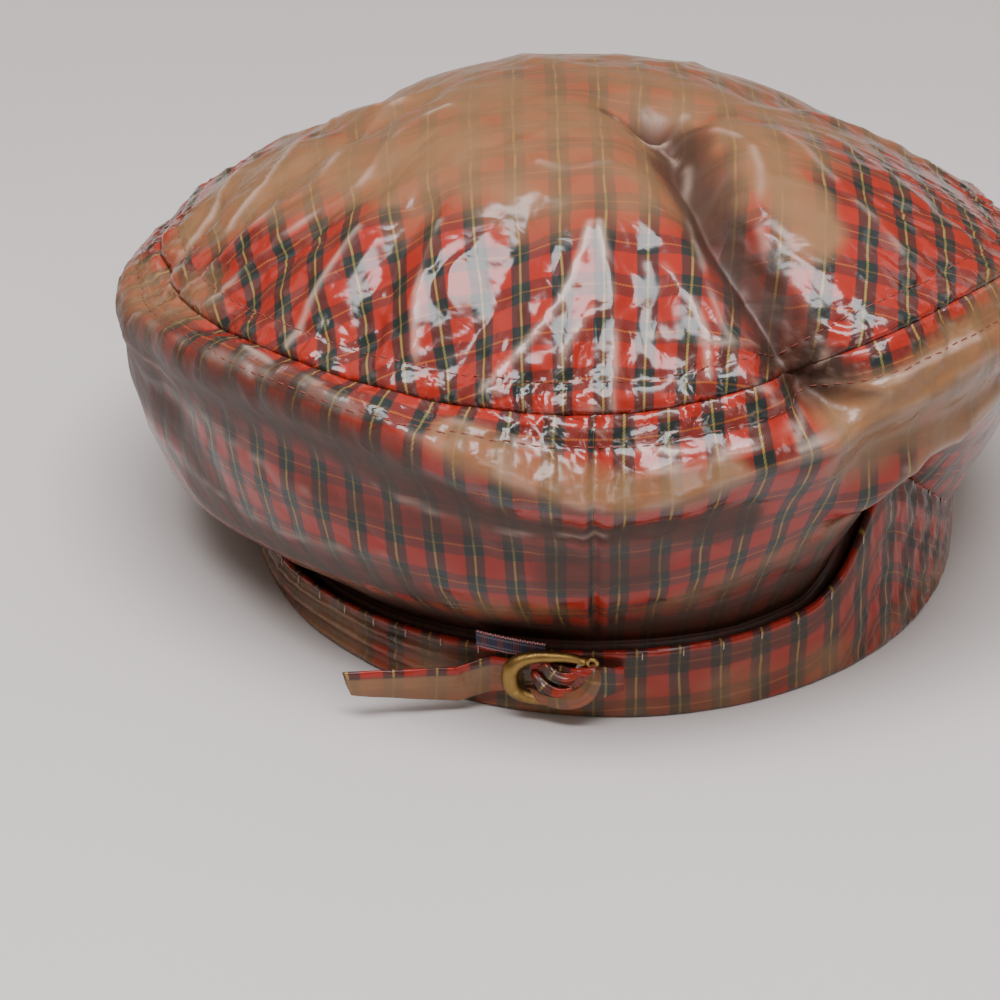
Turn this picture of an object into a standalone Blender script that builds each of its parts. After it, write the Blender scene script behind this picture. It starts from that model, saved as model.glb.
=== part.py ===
"""Rain cap: a puffed cap of film-covered tartan, with a buckled strap at the back.

The rim rests on z = 0, the back faces -Y and +Z is up. The origin is the middle of the
plan of the whole cap. Lengths are in metres. Directions are in degrees round the head:
0 is the back, 90 is +X, 180 the front and 270 is -X.
"""

import math
from collections import namedtuple

import bmesh
import bpy
import numpy as np

MM = 0.001

# Head band: an oval strip round the head, whose outer face is the oval
BAND_WIDTH = 171.0 * MM
BAND_LENGTH = 200.0 * MM
BAND_HEIGHT = 17.0 * MM
BAND_CLOTH = 2.2 * MM

# Crown: a domed top panel and a puffed side panel that hangs over the band
CROWN_HEIGHT = 122.0 * MM
OVERHANG = 34.0 * MM
APEX_BACK = 42.0 * MM
APEX_LEFT = 8.0 * MM
CROWN_CLOTH = 1.4 * MM
TUCK_IN = 4.6 * MM
HEM_LIFT = 2.0 * MM
SEAM_GAP = 0.45 * MM
SEAM_STRIP = 2.6 * MM
FOLD_DEPTH = 10.0 * MM
FOLD_WIDTH = 9.0 * MM
GATHERS = 20
GATHER_DEPTH = 0.9 * MM
GATHER_REACH = 12.0 * MM

# Strap, its ring and the ring's tab, at the back
CLEARANCE = 0.3 * MM
RING_CENTRE = -15.0 * MM
RING_WIDTH = 20.8 * MM
RING_HEIGHT = 13.6 * MM
RING_PROUD = 1.1 * MM
RING_THIN = 1.1 * MM
RING_THICK = 2.0 * MM
RING_EASE = 0.3 * MM
STRAP_CLOTH = 1.6 * MM
STRAP_WIDTH = 9.8 * MM
STRAP_TIP_WIDTH = 5.8 * MM
STRAP_EASE = 1.2 * MM
STRAP_SLACK = 0.25 * MM
TAIL_LENGTH = 31.6 * MM
TAIL_SWING = 5.0 * MM
TAIL_DROP = 1.9 * MM
TAIL_SAG = 6.0 * MM
TAB_LENGTH = 15.5 * MM
TAB_INSET = 0.5 * MM
TAB_HEIGHT = 5.0 * MM
TAB_CLOTH = 1.0 * MM

# Mesh density
COLUMNS = 80
TOP_ROWS = 10
SIDE_ROWS = 14
RING_STEPS = 32
STRAP_STEPS = 45

# One row for each direction. The out columns are shares of OVERHANG beyond the band's
# oval, the up columns are shares of CROWN_HEIGHT, and dome is the power of the top
# panel's fall from the apex to the seam.
Section = namedtuple(
    "Section", "direction seam_out seam_up crest_out crest_up under_out under_up dome"
)
SECTIONS = (
    Section(0, 0.44, 0.68, 0.62, 0.54, 0.32, 0.32, 2.7),
    Section(45, 0.53, 0.78, 0.62, 0.60, 0.40, 0.48, 2.6),
    Section(90, 0.30, 0.64, 0.53, 0.49, 0.38, 0.32, 2.0),
    Section(135, 0.44, 0.52, 0.65, 0.41, 0.42, 0.28, 2.0),
    Section(180, 0.41, 0.54, 0.59, 0.39, 0.36, 0.30, 2.0),
    Section(225, 0.56, 0.54, 0.80, 0.40, 0.52, 0.28, 2.0),
    Section(270, 0.62, 0.60, 1.00, 0.48, 0.56, 0.15, 2.2),
    Section(315, 0.53, 0.67, 0.75, 0.59, 0.42, 0.27, 2.5),
)

# Height of the band round the head, as shares of BAND_HEIGHT
BandRow = namedtuple("BandRow", "direction height")
BAND_ROWS = (
    BandRow(0, 1.0),
    BandRow(20, 1.06),
    BandRow(33, 1.2),
    BandRow(39, 1.6),
    BandRow(46, 2.75),
    BandRow(51, 2.5),
    BandRow(70, 1.3),
    BandRow(90, 1.2),
    BandRow(180, 1.2),
    BandRow(230, 1.0),
    BandRow(270, 0.65),
    BandRow(300, 0.65),
    BandRow(340, 0.92),
    BandRow(360, 1.0),
)

# Folds pressed into the crown. A fold runs from start through middle to end, each a
# direction and a station, where station 0 is the apex, 1 the seam, 2 the crest and
# 3 the middle of the underside. depth and width are shares of FOLD_DEPTH and FOLD_WIDTH.
Fold = namedtuple("Fold", "name start middle end depth width")
FOLDS = (
    Fold("valley", (80, 0.17), (24, 0.55), (23.5, 1.30), 0.75, 1.0),
    Fold("seam_pinch", (20, 0.98), (23, 1.15), (27, 1.50), 0.35, 0.6),
    Fold("top_dent", (130, 0.10), (100, 0.18), (92, 0.26), 0.30, 0.6),
    Fold("top_hollow_left", (-41, 0.60), (-38, 0.80), (-35, 1.02), 0.28, 0.7),
    Fold("top_hollow_middle", (-17, 0.58), (-19, 0.80), (-22, 1.04), 0.30, 0.7),
    Fold("top_hollow_right", (6, 0.66), (4, 0.86), (2, 1.04), 0.22, 0.7),
    Fold("left_crease", (-110, 0.42), (-80, 0.70), (-72, 1.00), 0.26, 0.7),
    Fold("left_short_crease", (-60, 0.55), (-58, 0.80), (-56, 1.05), 0.24, 0.8),
    Fold("left_end_pinch", (-86, 0.88), (-80, 1.08), (-74, 1.35), 0.30, 0.7),
    Fold("right_swell", (28, 1.62), (41, 1.66), (58, 1.52), -0.45, 1.2),
    Fold("right_hollow", (30, 2.05), (42, 2.15), (58, 2.00), 0.45, 0.9),
    Fold("under_ridge", (52, 2.25), (40, 2.50), (31, 2.95), -0.38, 0.8),
    Fold("crest_ridge_back", (-18, 1.80), (-5, 2.05), (8, 2.02), -0.22, 0.8),
    Fold("crest_ridge_left", (-60, 1.66), (-42, 1.62), (-24, 1.70), -0.24, 0.9),
    Fold("under_hollow_left", (-66, 2.20), (-44, 2.20), (-22, 2.35), 0.30, 1.2),
    Fold("under_hollow_back", (-16, 2.55), (0, 2.60), (14, 2.50), 0.24, 1.2),
    Fold("front_crease_right", (118, 0.45), (122, 0.72), (126, 1.02), 0.26, 0.9),
    Fold("front_crease_left", (236, 0.50), (232, 0.75), (228, 1.04), 0.26, 0.9),
    Fold("front_sag", (166, 1.95), (182, 2.05), (200, 1.95), 0.25, 1.2),
)

# Half height of the lip that tucks in behind the band's top edge, as a share of the band
TUCK_LIP = 0.12

# Share of the side panel's rows that hang free, above the tuck
FREE_ROWS = 0.6

# The strap's way through the ring. place is from the ring's centre towards +X, in half
# ring widths. rise is 0 where the strap lies on the band and 1 where it clears the wire.
StrapStop = namedtuple("StrapStop", "place rise")
STRAP_STOPS = (
    StrapStop(1.63, 0.0),
    StrapStop(1.22, 0.76),
    StrapStop(0.89, 1.08),
    StrapStop(0.49, 0.92),
    StrapStop(0.05, 0.24),
    StrapStop(-0.81, 0.0),
    StrapStop(-1.29, 0.0),
)


def periodic_curve(values, at):
    """Smooth closed curve through equally spaced values, read at shares of one turn."""
    count = len(values)
    place = np.mod(at, 1.0) * count
    first = np.floor(place).astype(int)
    t = place - first
    p = [values[(first + k) % count] for k in (-1, 0, 1, 2)]
    return 0.5 * (
        2.0 * p[1]
        + (p[2] - p[0]) * t
        + (2.0 * p[0] - 5.0 * p[1] + 4.0 * p[2] - p[3]) * t**2
        + (3.0 * p[1] - p[0] - 3.0 * p[2] + p[3]) * t**3
    )


def eased_rows(rows, direction):
    """Value of a table of rows, which eases from each row to the next."""
    angles = np.array([row.direction for row in rows], float)
    values = np.array([row.height for row in rows], float)
    turn = np.mod(direction, 360.0)
    last = np.clip(np.searchsorted(angles, turn, side="right"), 1, len(angles) - 1)
    t = (turn - angles[last - 1]) / (angles[last] - angles[last - 1])
    ease = t * t * (3.0 - 2.0 * t)
    return values[last - 1] + (values[last] - values[last - 1]) * ease


def oval(direction, out):
    """Plan point at a distance out from the band's oval, in a direction."""
    angle = np.radians(direction)
    x = (0.5 * BAND_WIDTH + out) * np.sin(angle)
    y = -(0.5 * BAND_LENGTH + out) * np.cos(angle)
    return x, y


def column(name, direction):
    """One column of the section table, read smoothly in a direction."""
    values = np.array([getattr(row, name) for row in SECTIONS])
    return periodic_curve(values, direction / 360.0)


def spline(points, stations):
    """Smooth curve through points, read at stations counted in points."""
    points = np.asarray(points)
    padded = np.concatenate([2 * points[:1] - points[1:2], points, 2 * points[-1:] - points[-2:-1]])
    first = np.clip(np.floor(stations).astype(int), 0, len(points) - 2)
    t = (stations - first)[:, None, None]
    p = [padded[first + k] for k in (0, 1, 2, 3)]
    return 0.5 * (
        2.0 * p[1]
        + (p[2] - p[0]) * t
        + (2.0 * p[0] - 5.0 * p[1] + 4.0 * p[2] - p[3]) * t**2
        + (3.0 * p[1] - p[0] - 3.0 * p[2] + p[3]) * t**3
    )


def top_rows(direction, reach):
    """Rows of the domed top panel: from the apex straight out to the seam in plan.

    The height falls from the apex to the seam by a power of the share of the way out.
    """
    seam_x, seam_y = oval(direction, OVERHANG * column("seam_out", direction))
    seam_up = CROWN_HEIGHT * column("seam_up", direction)
    share = reach[:, None]
    x = -APEX_LEFT + share * (seam_x + APEX_LEFT)
    y = -APEX_BACK + share * (seam_y + APEX_BACK)
    fall = share ** column("dome", direction)
    up = CROWN_HEIGHT - (CROWN_HEIGHT - seam_up) * fall
    return np.stack([x, y, up], axis=-1)


def side_rows(direction, stations):
    """Rows of the side panel: seam, crest, underside, tuck and hem inside the band."""
    height = BAND_HEIGHT * eased_rows(BAND_ROWS, direction)
    lip = TUCK_LIP * height
    ones = np.ones_like(direction)
    points = []
    for name in ("seam", "crest", "under"):
        out = OVERHANG * column(name + "_out", direction)
        up = CROWN_HEIGHT * column(name + "_up", direction)
        points.append(np.stack([out, up], axis=-1))
    points.append(np.stack([-TUCK_IN * ones, height + lip], axis=-1))
    points.append(np.stack([-TUCK_IN * ones, height - lip], axis=-1))
    points.append(np.stack([-(BAND_CLOTH + CLEARANCE) * ones, HEM_LIFT * ones], axis=-1))
    flat = spline(points, stations)
    x, y = oval(direction, flat[..., 0])
    return np.stack([x, y, flat[..., 1]], axis=-1)


def distance_to_path(points, path):
    """Shortest distance from each point to a path of straight runs."""
    nearest = np.full(points.shape[:-1], np.inf)
    for start, end in zip(path[:-1], path[1:]):
        run = end - start
        share = np.clip(((points - start) @ run) / (run @ run), 0.0, 1.0)
        gap = np.linalg.norm(points - start - share[..., None] * run, axis=-1)
        nearest = np.minimum(nearest, gap)
    return nearest


def base_point(direction, station):
    """Point of the plain crown at a direction and a station."""
    turn = np.array([float(direction)])
    if station <= 1.0:
        return top_rows(turn, np.array([float(station)]))[0, 0]
    return side_rows(turn, np.array([station - 1.0]))[0, 0]


def outward(points):
    """Unit normals of a grid of points whose rows run down and columns run round."""
    down = np.gradient(points, axis=0)
    around = np.roll(points, -1, axis=1) - np.roll(points, 1, axis=1)
    normal = np.cross(around, down)
    normal[0] = (0.0, 0.0, -1.0)
    normal /= np.linalg.norm(normal, axis=-1, keepdims=True)
    return -normal


def crown_points():
    """Rows of the whole crown, from the apex down to the hem, with folds and gathers."""
    direction = np.arange(COLUMNS) * 360.0 / COLUMNS
    ends = top_rows(direction, np.array([1e-4, 1.0]))
    seam = ends[1]
    crest = side_rows(direction, np.array([1.0]))[0]
    edge_reach = 1.0 - SEAM_STRIP / np.linalg.norm(seam - ends[0], axis=-1).mean()
    edge_station = SEAM_STRIP / np.linalg.norm(crest - seam, axis=-1).mean()
    top = top_rows(direction, np.linspace(1e-4, edge_reach, TOP_ROWS))
    side = side_rows(direction, np.linspace(edge_station, 5.0, SIDE_ROWS))
    seam_run = side[0] - top[-1]
    half_gap = 0.5 * SEAM_GAP / np.linalg.norm(seam_run, axis=-1, keepdims=True)
    top_edge = top[-1] + (0.5 - half_gap) * seam_run
    side_edge = top[-1] + (0.5 + half_gap) * seam_run
    points = np.concatenate([top, [top_edge, side_edge], side])
    normal = outward(points)
    offset = np.zeros(points.shape[:-1])
    for fold in FOLDS:
        path = [base_point(*end) for end in (fold.start, fold.middle, fold.end)]
        gap = distance_to_path(points, path)
        offset -= FOLD_DEPTH * fold.depth * np.exp(-((gap / (FOLD_WIDTH * fold.width)) ** 2))
    seam_gap = np.linalg.norm(points - top_edge, axis=-1)
    wave = np.cos(np.radians(direction) * GATHERS)
    offset += GATHER_DEPTH * wave * np.exp(-((seam_gap / GATHER_REACH) ** 2))
    inside = np.arange(len(points)) > TOP_ROWS + 2 + FREE_ROWS * SIDE_ROWS
    offset[inside] = 0.0
    return points + normal * offset[..., None]


def plan_middle(points):
    """Middle of the plan of a grid of points."""
    low = points.reshape(-1, 3).min(axis=0)
    high = points.reshape(-1, 3).max(axis=0)
    return np.array([0.5 * (low[0] + high[0]), 0.5 * (low[1] + high[1]), 0.0])


def clear_scene():
    """Remove the objects that a new file starts with."""
    for thing in list(bpy.data.objects):
        bpy.data.objects.remove(thing, do_unlink=True)


def material(name, colour, roughness, metallic=0.0):
    """Plain Principled material."""
    made = bpy.data.materials.new(name)
    made.use_nodes = True
    shader = made.node_tree.nodes["Principled BSDF"]
    shader.inputs["Base Color"].default_value = (*colour, 1.0)
    shader.inputs["Roughness"].default_value = roughness
    shader.inputs["Metallic"].default_value = metallic
    return made


def add_object(name, data, finish, collection):
    """New object in the collection, with its material."""
    made = bpy.data.objects.new(name, data)
    data.materials.append(finish)
    collection.objects.link(made)
    return made


def closed_sheet(name, points, cap_top=False):
    """Mesh of a sheet that closes round on itself, with an optional pole at its first row."""
    rows, columns = points.shape[:2]
    mesh = bmesh.new()
    start = 1 if cap_top else 0
    rings = [[mesh.verts.new(p) for p in points[row]] for row in range(start, rows)]
    for upper, lower in zip(rings[:-1], rings[1:]):
        for k in range(columns):
            j = (k + 1) % columns
            mesh.faces.new((upper[k], lower[k], lower[j], upper[j]))
    if cap_top:
        pole = mesh.verts.new(points[0].mean(axis=0))
        for k in range(columns):
            mesh.faces.new((pole, rings[0][k], rings[0][(k + 1) % columns]))
    bmesh.ops.recalc_face_normals(mesh, faces=mesh.faces)
    made = bpy.data.meshes.new(name)
    mesh.to_mesh(made)
    mesh.free()
    made.shade_smooth()
    return made


def open_sheet(name, points):
    """Mesh of a sheet with four free edges."""
    rows, columns = points.shape[:2]
    mesh = bmesh.new()
    grid = [[mesh.verts.new(p) for p in row] for row in points]
    for i in range(rows - 1):
        for k in range(columns - 1):
            mesh.faces.new((grid[i][k], grid[i][k + 1], grid[i + 1][k + 1], grid[i + 1][k]))
    made = bpy.data.meshes.new(name)
    mesh.to_mesh(made)
    mesh.free()
    made.shade_smooth()
    return made


def wall(thing, thickness, offset=-1.0):
    """Give a sheet its cloth thickness."""
    solid = thing.modifiers.new("cloth", "SOLIDIFY")
    solid.thickness = thickness
    solid.offset = offset
    solid.use_even_offset = False


def make_crown(points, middle, tartan, collection):
    """Top panel and side panel, which meet at the crown's seam."""
    split = TOP_ROWS + 1
    top_sheet = closed_sheet("crown_top", points[:split] - middle, True)
    top = add_object("crown_top", top_sheet, tartan, collection)
    wall(top, CROWN_CLOTH)
    side_sheet = closed_sheet("crown_side", points[split:] - middle)
    side = add_object("crown_side", side_sheet, tartan, collection)
    wall(side, CROWN_CLOTH)


def make_band(middle, tartan, collection):
    """Oval strip that stands on the rim, outside the side panel's hem."""
    direction = np.arange(COLUMNS) * 360.0 / COLUMNS
    height = BAND_HEIGHT * eased_rows(BAND_ROWS, direction)
    share = np.array([1.0, 0.5, 0.0])[:, None]
    x, y = oval(direction, 0.0)
    points = np.stack([x + 0 * share, y + 0 * share, height * share], axis=-1) - middle
    band = add_object("head_band", closed_sheet("head_band", points), tartan, collection)
    wall(band, BAND_CLOTH)


def back_face(x):
    """Plan y of the band's outer face at x, near the back."""
    share = np.clip(x / (0.5 * BAND_WIDTH), -0.999, 0.999)
    return -0.5 * BAND_LENGTH * np.sqrt(1.0 - share**2)


def ring_lift():
    """Height of the ring's centre, whose top stands a little above the band's edge."""
    return BAND_HEIGHT + RING_PROUD - 0.5 * RING_HEIGHT


def ring_depths():
    """How far the ring's wire stands off the band at its left end and at its right end."""
    left = 2.0 * CLEARANCE + STRAP_SLACK + STRAP_CLOTH + RING_THICK + RING_EASE
    right = CLEARANCE + RING_THIN
    return left, right


def ring_path(turn):
    """Wire of the D-shaped ring: centre, depth off the band and wire radius.

    The thick arc is at -X, over the strap, and the thin end is at +X, under it.
    """
    left_depth, right_depth = ring_depths()
    leftness = 0.5 - 0.5 * np.cos(turn)
    radius = RING_THIN + (RING_THICK - RING_THIN) * leftness**2
    round_x = np.sign(np.cos(turn)) * np.abs(np.cos(turn)) ** 0.8
    round_z = np.sign(np.sin(turn)) * np.abs(np.sin(turn)) ** 0.8
    x = RING_CENTRE + (0.5 * RING_WIDTH - radius) * round_x
    z = ring_lift() + (0.5 * RING_HEIGHT - radius) * round_z
    depth = right_depth + (left_depth - right_depth) * leftness
    return x, back_face(x) - depth, z, radius


def make_ring(middle, brass, collection):
    """Closed wire ring with its thick arc at -X."""
    curve = bpy.data.curves.new("ring_buckle", "CURVE")
    curve.dimensions = "3D"
    curve.bevel_depth = 1.0
    curve.bevel_resolution = 2
    path = curve.splines.new("POLY")
    path.points.add(RING_STEPS - 1)
    path.use_cyclic_u = True
    x, y, z, radius = ring_path(np.arange(RING_STEPS) * 2.0 * math.pi / RING_STEPS)
    for k in range(RING_STEPS):
        path.points[k].co = (x[k] - middle[0], y[k] - middle[1], z[k], 1.0)
        path.points[k].radius = radius[k]
    path.use_smooth = True
    add_object("ring_buckle", curve, brass, collection)


def strap_path():
    """Middle line of the strap in plan: through the ring, then a straight free tail."""
    seat = CLEARANCE + STRAP_SLACK + 0.5 * STRAP_CLOTH
    over = ring_depths()[1] + RING_THIN + CLEARANCE + RING_EASE + 0.5 * STRAP_CLOTH
    place = np.array([stop.place for stop in STRAP_STOPS])
    rise = np.array([stop.rise for stop in STRAP_STOPS])
    x = RING_CENTRE + 0.5 * RING_WIDTH * place
    y = back_face(x) - seat - (over - seat) * rise
    share = np.linspace(0.0, 1.0, 6)[1:]
    tail_x = x[-1] - TAIL_LENGTH * share
    tail_y = y[-1] - TAIL_SWING * share
    stops = np.stack([np.concatenate([x, tail_x]), np.concatenate([y, tail_y])], axis=-1)
    return spline(stops[:, None, :], np.linspace(0.0, len(stops) - 1.0, STRAP_STEPS))[:, 0]


def make_strap(middle, tartan, collection):
    """Strap end that comes over the ring's thin end, dips through it and hangs free.

    It narrows to pass the ring, and its tail tapers, sags and lifts again to its tip.
    """
    path = strap_path()
    way = RING_CENTRE - path[:, 0]
    tail = np.clip(way / way[-1], 0.0, 1.0)
    width = STRAP_WIDTH + (STRAP_TIP_WIDTH - STRAP_WIDTH) * tail**1.5
    in_ring = np.exp(-((way / (0.5 * RING_WIDTH)) ** 4))
    bunched = RING_HEIGHT - 4.0 * RING_THIN - 2.0 * STRAP_EASE
    width = width + (np.minimum(bunched, width) - width) * in_ring
    hang = np.clip(tail / 0.45, 0.0, 1.0) ** 2 * (1.0 - tail)
    lift = ring_lift() - TAIL_DROP * tail - TAIL_SAG * hang
    across = np.array([-0.5, 0.0, 0.5])[:, None]
    x = path[:, 0] + 0.0 * across
    y = path[:, 1] + 0.0 * across
    points = np.stack([x, y, lift + width * across], axis=-1)
    strap = add_object("strap_tail", open_sheet("strap_tail", points - middle), tartan, collection)
    wall(strap, STRAP_CLOTH, 0.0)


def make_tab(middle, tartan, collection):
    """Short folded tab on the band's top edge, behind the ring's upper wire."""
    right = RING_CENTRE - TAB_INSET
    x = np.linspace(right - TAB_LENGTH, right, 8)
    y = back_face(x) - CLEARANCE - 0.5 * TAB_CLOTH
    low = ring_lift() + 0.5 * STRAP_WIDTH + 0.5 * CLEARANCE
    across = np.array([0.0, 0.5, 1.0])[:, None]
    points = np.stack([x + 0.0 * across, y + 0.0 * across, low + TAB_HEIGHT * across + 0.0 * x], axis=-1)
    tab = add_object("ring_tab", open_sheet("ring_tab", points - middle), tartan, collection)
    wall(tab, TAB_CLOTH, 0.0)


def main():
    """Build the cap."""
    clear_scene()
    collection = bpy.data.collections.new("rain_cap")
    bpy.context.scene.collection.children.link(collection)
    tartan = material("tartan_film", (0.42, 0.07, 0.04), 0.25)
    brass = material("brass", (0.50, 0.36, 0.16), 0.35, 1.0)
    points = crown_points()
    middle = plan_middle(points)
    make_crown(points, middle, tartan, collection)
    make_band(middle, tartan, collection)
    make_ring(middle, brass, collection)
    make_strap(middle, tartan, collection)
    make_tab(middle, tartan, collection)


main()
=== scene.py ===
"""Looks of a rain cap: tartan cloth under clear film, with a buckled strap at the back.

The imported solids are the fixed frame. Each panel of the cap is a surface worked out on a
grid of directions round the head and stations down the crown, with its folds and puckers.
Lengths are in metres. Directions are in degrees: 0 is the back (-Y), 90 is +X, 180 the
front and -90 is -X. Stations: 0 apex, 1 seam, 2 crest, 3 middle of the underside, 4 and 5
the tuck behind the band, 6 the hem.
"""

import math
from collections import namedtuple

import bmesh
import bpy
import numpy as np
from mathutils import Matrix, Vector


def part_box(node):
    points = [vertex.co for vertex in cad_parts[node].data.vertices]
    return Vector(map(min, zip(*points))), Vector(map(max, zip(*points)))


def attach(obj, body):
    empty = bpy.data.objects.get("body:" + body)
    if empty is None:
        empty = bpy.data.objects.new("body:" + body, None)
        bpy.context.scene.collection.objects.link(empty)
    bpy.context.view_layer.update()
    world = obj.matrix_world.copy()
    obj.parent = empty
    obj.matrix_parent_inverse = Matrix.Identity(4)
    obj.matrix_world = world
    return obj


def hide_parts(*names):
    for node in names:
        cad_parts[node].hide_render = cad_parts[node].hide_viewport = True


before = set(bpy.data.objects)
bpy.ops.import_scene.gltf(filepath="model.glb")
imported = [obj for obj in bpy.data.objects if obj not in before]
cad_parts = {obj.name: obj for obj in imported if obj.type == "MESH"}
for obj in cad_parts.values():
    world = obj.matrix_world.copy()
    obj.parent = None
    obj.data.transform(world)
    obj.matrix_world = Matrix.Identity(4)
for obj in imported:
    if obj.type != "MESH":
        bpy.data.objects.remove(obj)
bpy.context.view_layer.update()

MM = 0.001


def corners(node):
    """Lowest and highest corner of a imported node, as arrays."""
    low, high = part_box(node)
    return np.array(low), np.array(high)


# Sizes read from the frame
band_low, band_high = corners("head_band")
BAND_WIDTH, BAND_LENGTH = (band_high - band_low)[:2]
MIDDLE = 0.5 * (band_low + band_high) * (1.0, 1.0, 0.0)
CROWN_HEIGHT = corners("crown_top")[1][2]
ring_low, ring_high = corners("ring_buckle")
RING_CENTRE = 0.5 * (ring_low + ring_high)[0] - MIDDLE[0]
RING_WIDTH, _, RING_HEIGHT = ring_high - ring_low
RING_LIFT = 0.5 * (ring_low + ring_high)[2]

# Band and crown, as the solids have them
BAND_HEIGHT = 17.0 * MM
BAND_CLOTH = 2.2 * MM
OVERHANG = 34.0 * MM
APEX_BACK = 42.0 * MM
APEX_LEFT = 8.0 * MM
CROWN_CLOTH = 1.3 * MM
TUCK_IN = 4.6 * MM
HEM_LIFT = 2.0 * MM
FOLD_DEPTH = 10.0 * MM
FOLD_WIDTH = 9.0 * MM
GATHERS = 20
GATHER_DEPTH = 0.7 * MM
GATHER_REACH = 12.0 * MM
CLEARANCE = 0.3 * MM

# Ring with its eye, strap and tab, nearly as the solids have them
RING_THIN = 1.1 * MM
RING_THICK = 2.0 * MM
RING_EASE = 0.3 * MM
STRAP_CLOTH = 1.5 * MM
STRAP_WIDTH = 9.8 * MM
STRAP_TIP_WIDTH = 5.8 * MM
STRAP_EASE = 1.2 * MM
STRAP_SLACK = 0.25 * MM
TAIL_LENGTH = 31.6 * MM
TAIL_SWING = 5.0 * MM
TAIL_DROP = 1.9 * MM
TAIL_SAG = 6.0 * MM
TAB_LENGTH = 15.5 * MM
TAB_INSET = 0.5 * MM
TAB_HEIGHT = 4.2 * MM
TAB_SINK = 1.2 * MM
TAB_CLOTH = 0.9 * MM
TAB_SLOPE = 0.715 * MM
PINKING = 0.95 * MM
RING_SQUARE = 0.8
EYE_RADIUS = 1.0 * MM
EYE_WIRE = 0.55 * MM

# Tuck: over this part of the right the panel comes down over the band instead of behind it
FLARE_TURN = 66.0
FLARE_HALF = 18.0
FLARE_OUT = 1.2 * MM
LIP_SHARE = 0.12

# Grids of the crown, the ring, the strap, the tab and the stitches
COLUMNS = 640
TOP_ROWS = 100
FREE_ROWS = 84
FREE_END = 3.3
HEM_STATION = 5.0
TUCK_ROWS = 9
APEX_REACH = 1e-4
ROW_SPREAD = 0.9
NORMAL_ROUNDS = 10
INNER_STEP = 4
RING_STEPS = 180
RING_SIDES = 28
STRAP_STEPS = 260
ROLL_STEPS = 70
ROLL_SIDES = 36
TAB_STEPS = 220
EDGE_STITCHES = 58
BACK_DENSITY = 0.9
SEAM_HALF_GAP = 0.06 * MM

# Seam: topstitch lines run on both sides of it
STITCH_LINE = 7.0 * MM
STITCH_PITCH = 3.2 * MM
STITCH_LENGTH = 2.1 * MM
STITCH_RADIUS = 0.17 * MM

# Side panel: direction and depth of its own seam, and how far the pattern misses there
BACK_SEAM = -3.0
BACK_SEAM_DEPTH = 0.9 * MM
BACK_MISS = 4.6 * MM

# Puckers along the crown's seam: lengths, and places that have more of them, each with its
# direction, half width in degrees and gain
SHORT_PUCKERS = (3.6 * MM, 4.9 * MM, 6.3 * MM)
MIDDLE_PUCKERS = (8.0 * MM, 11.0 * MM, 15.0 * MM)
LONG_PUCKERS = (15.0 * MM, 21.0 * MM, 29.0 * MM)
PUCKER_PATCHES = ((-8.0, 13.0, 1.0), (-78.0, 14.0, 0.5), (24.0, 9.0, 0.5))
SHARP_RIDGE = 0.72

# Crumpled film: height and size of its ridges
FILM_LARGE = 0.24 * MM, 34.0 * MM
FILM_SMALL = 0.18 * MM, 15.0 * MM
FILM_FINE = 0.05 * MM, 7.0 * MM
FILM_CALM = 60.0 * MM

# Tartan: pitch of the dark bars across and along the cloth, and their shares of it
WARP_PITCH = 9.8 * MM
WEFT_PITCH = 10.6 * MM
DARK_SHARE = 0.48
LINE_SHARE = 0.055
THREAD = 0.75 * MM
BAND_TOP_THREAD = 1.2 * MM

# Pale cloud and painted reflection over the middle of the top panel: its strength and the station where it
# ends
TOP_CLOUD_AND_REFLECTION = 0.70
TOP_CLOUD_AND_REFLECTION_END = 0.60

# Creases: roundness of their tops, and half width of the lines of whitening and painted highlight along them
CREASE_TIP = 0.45 * MM
WHITE_REACH = 0.9 * MM
PULL_REACH = 10.0 * MM

# Crown's sections every 45 degrees: places as shares of OVERHANG and CROWN_HEIGHT, then the
# power of the dome's fall
Section = namedtuple(
    "Section", "direction seam_out seam_up crest_out crest_up under_out under_up dome"
)
SECTIONS = (
    Section(0, 0.44, 0.68, 0.62, 0.54, 0.32, 0.32, 2.7),
    Section(45, 0.53, 0.78, 0.62, 0.60, 0.40, 0.48, 2.6),
    Section(90, 0.30, 0.64, 0.53, 0.49, 0.38, 0.32, 2.0),
    Section(135, 0.44, 0.52, 0.65, 0.41, 0.42, 0.28, 2.0),
    Section(180, 0.41, 0.54, 0.59, 0.39, 0.36, 0.30, 2.0),
    Section(225, 0.56, 0.54, 0.80, 0.40, 0.52, 0.28, 2.0),
    Section(270, 0.62, 0.60, 1.00, 0.48, 0.56, 0.15, 2.2),
    Section(315, 0.53, 0.67, 0.75, 0.59, 0.42, 0.27, 2.5),
)

# Band: its height at some directions, as a share of BAND_HEIGHT
BAND_ROWS = (
    (0, 1.0), (20, 1.06), (33, 1.2), (39, 1.6), (46, 2.75), (51, 2.5), (70, 1.3),
    (90, 1.2), (180, 1.2), (230, 1.0), (270, 0.65), (300, 0.65), (340, 0.92), (360, 1.0),
)

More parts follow.
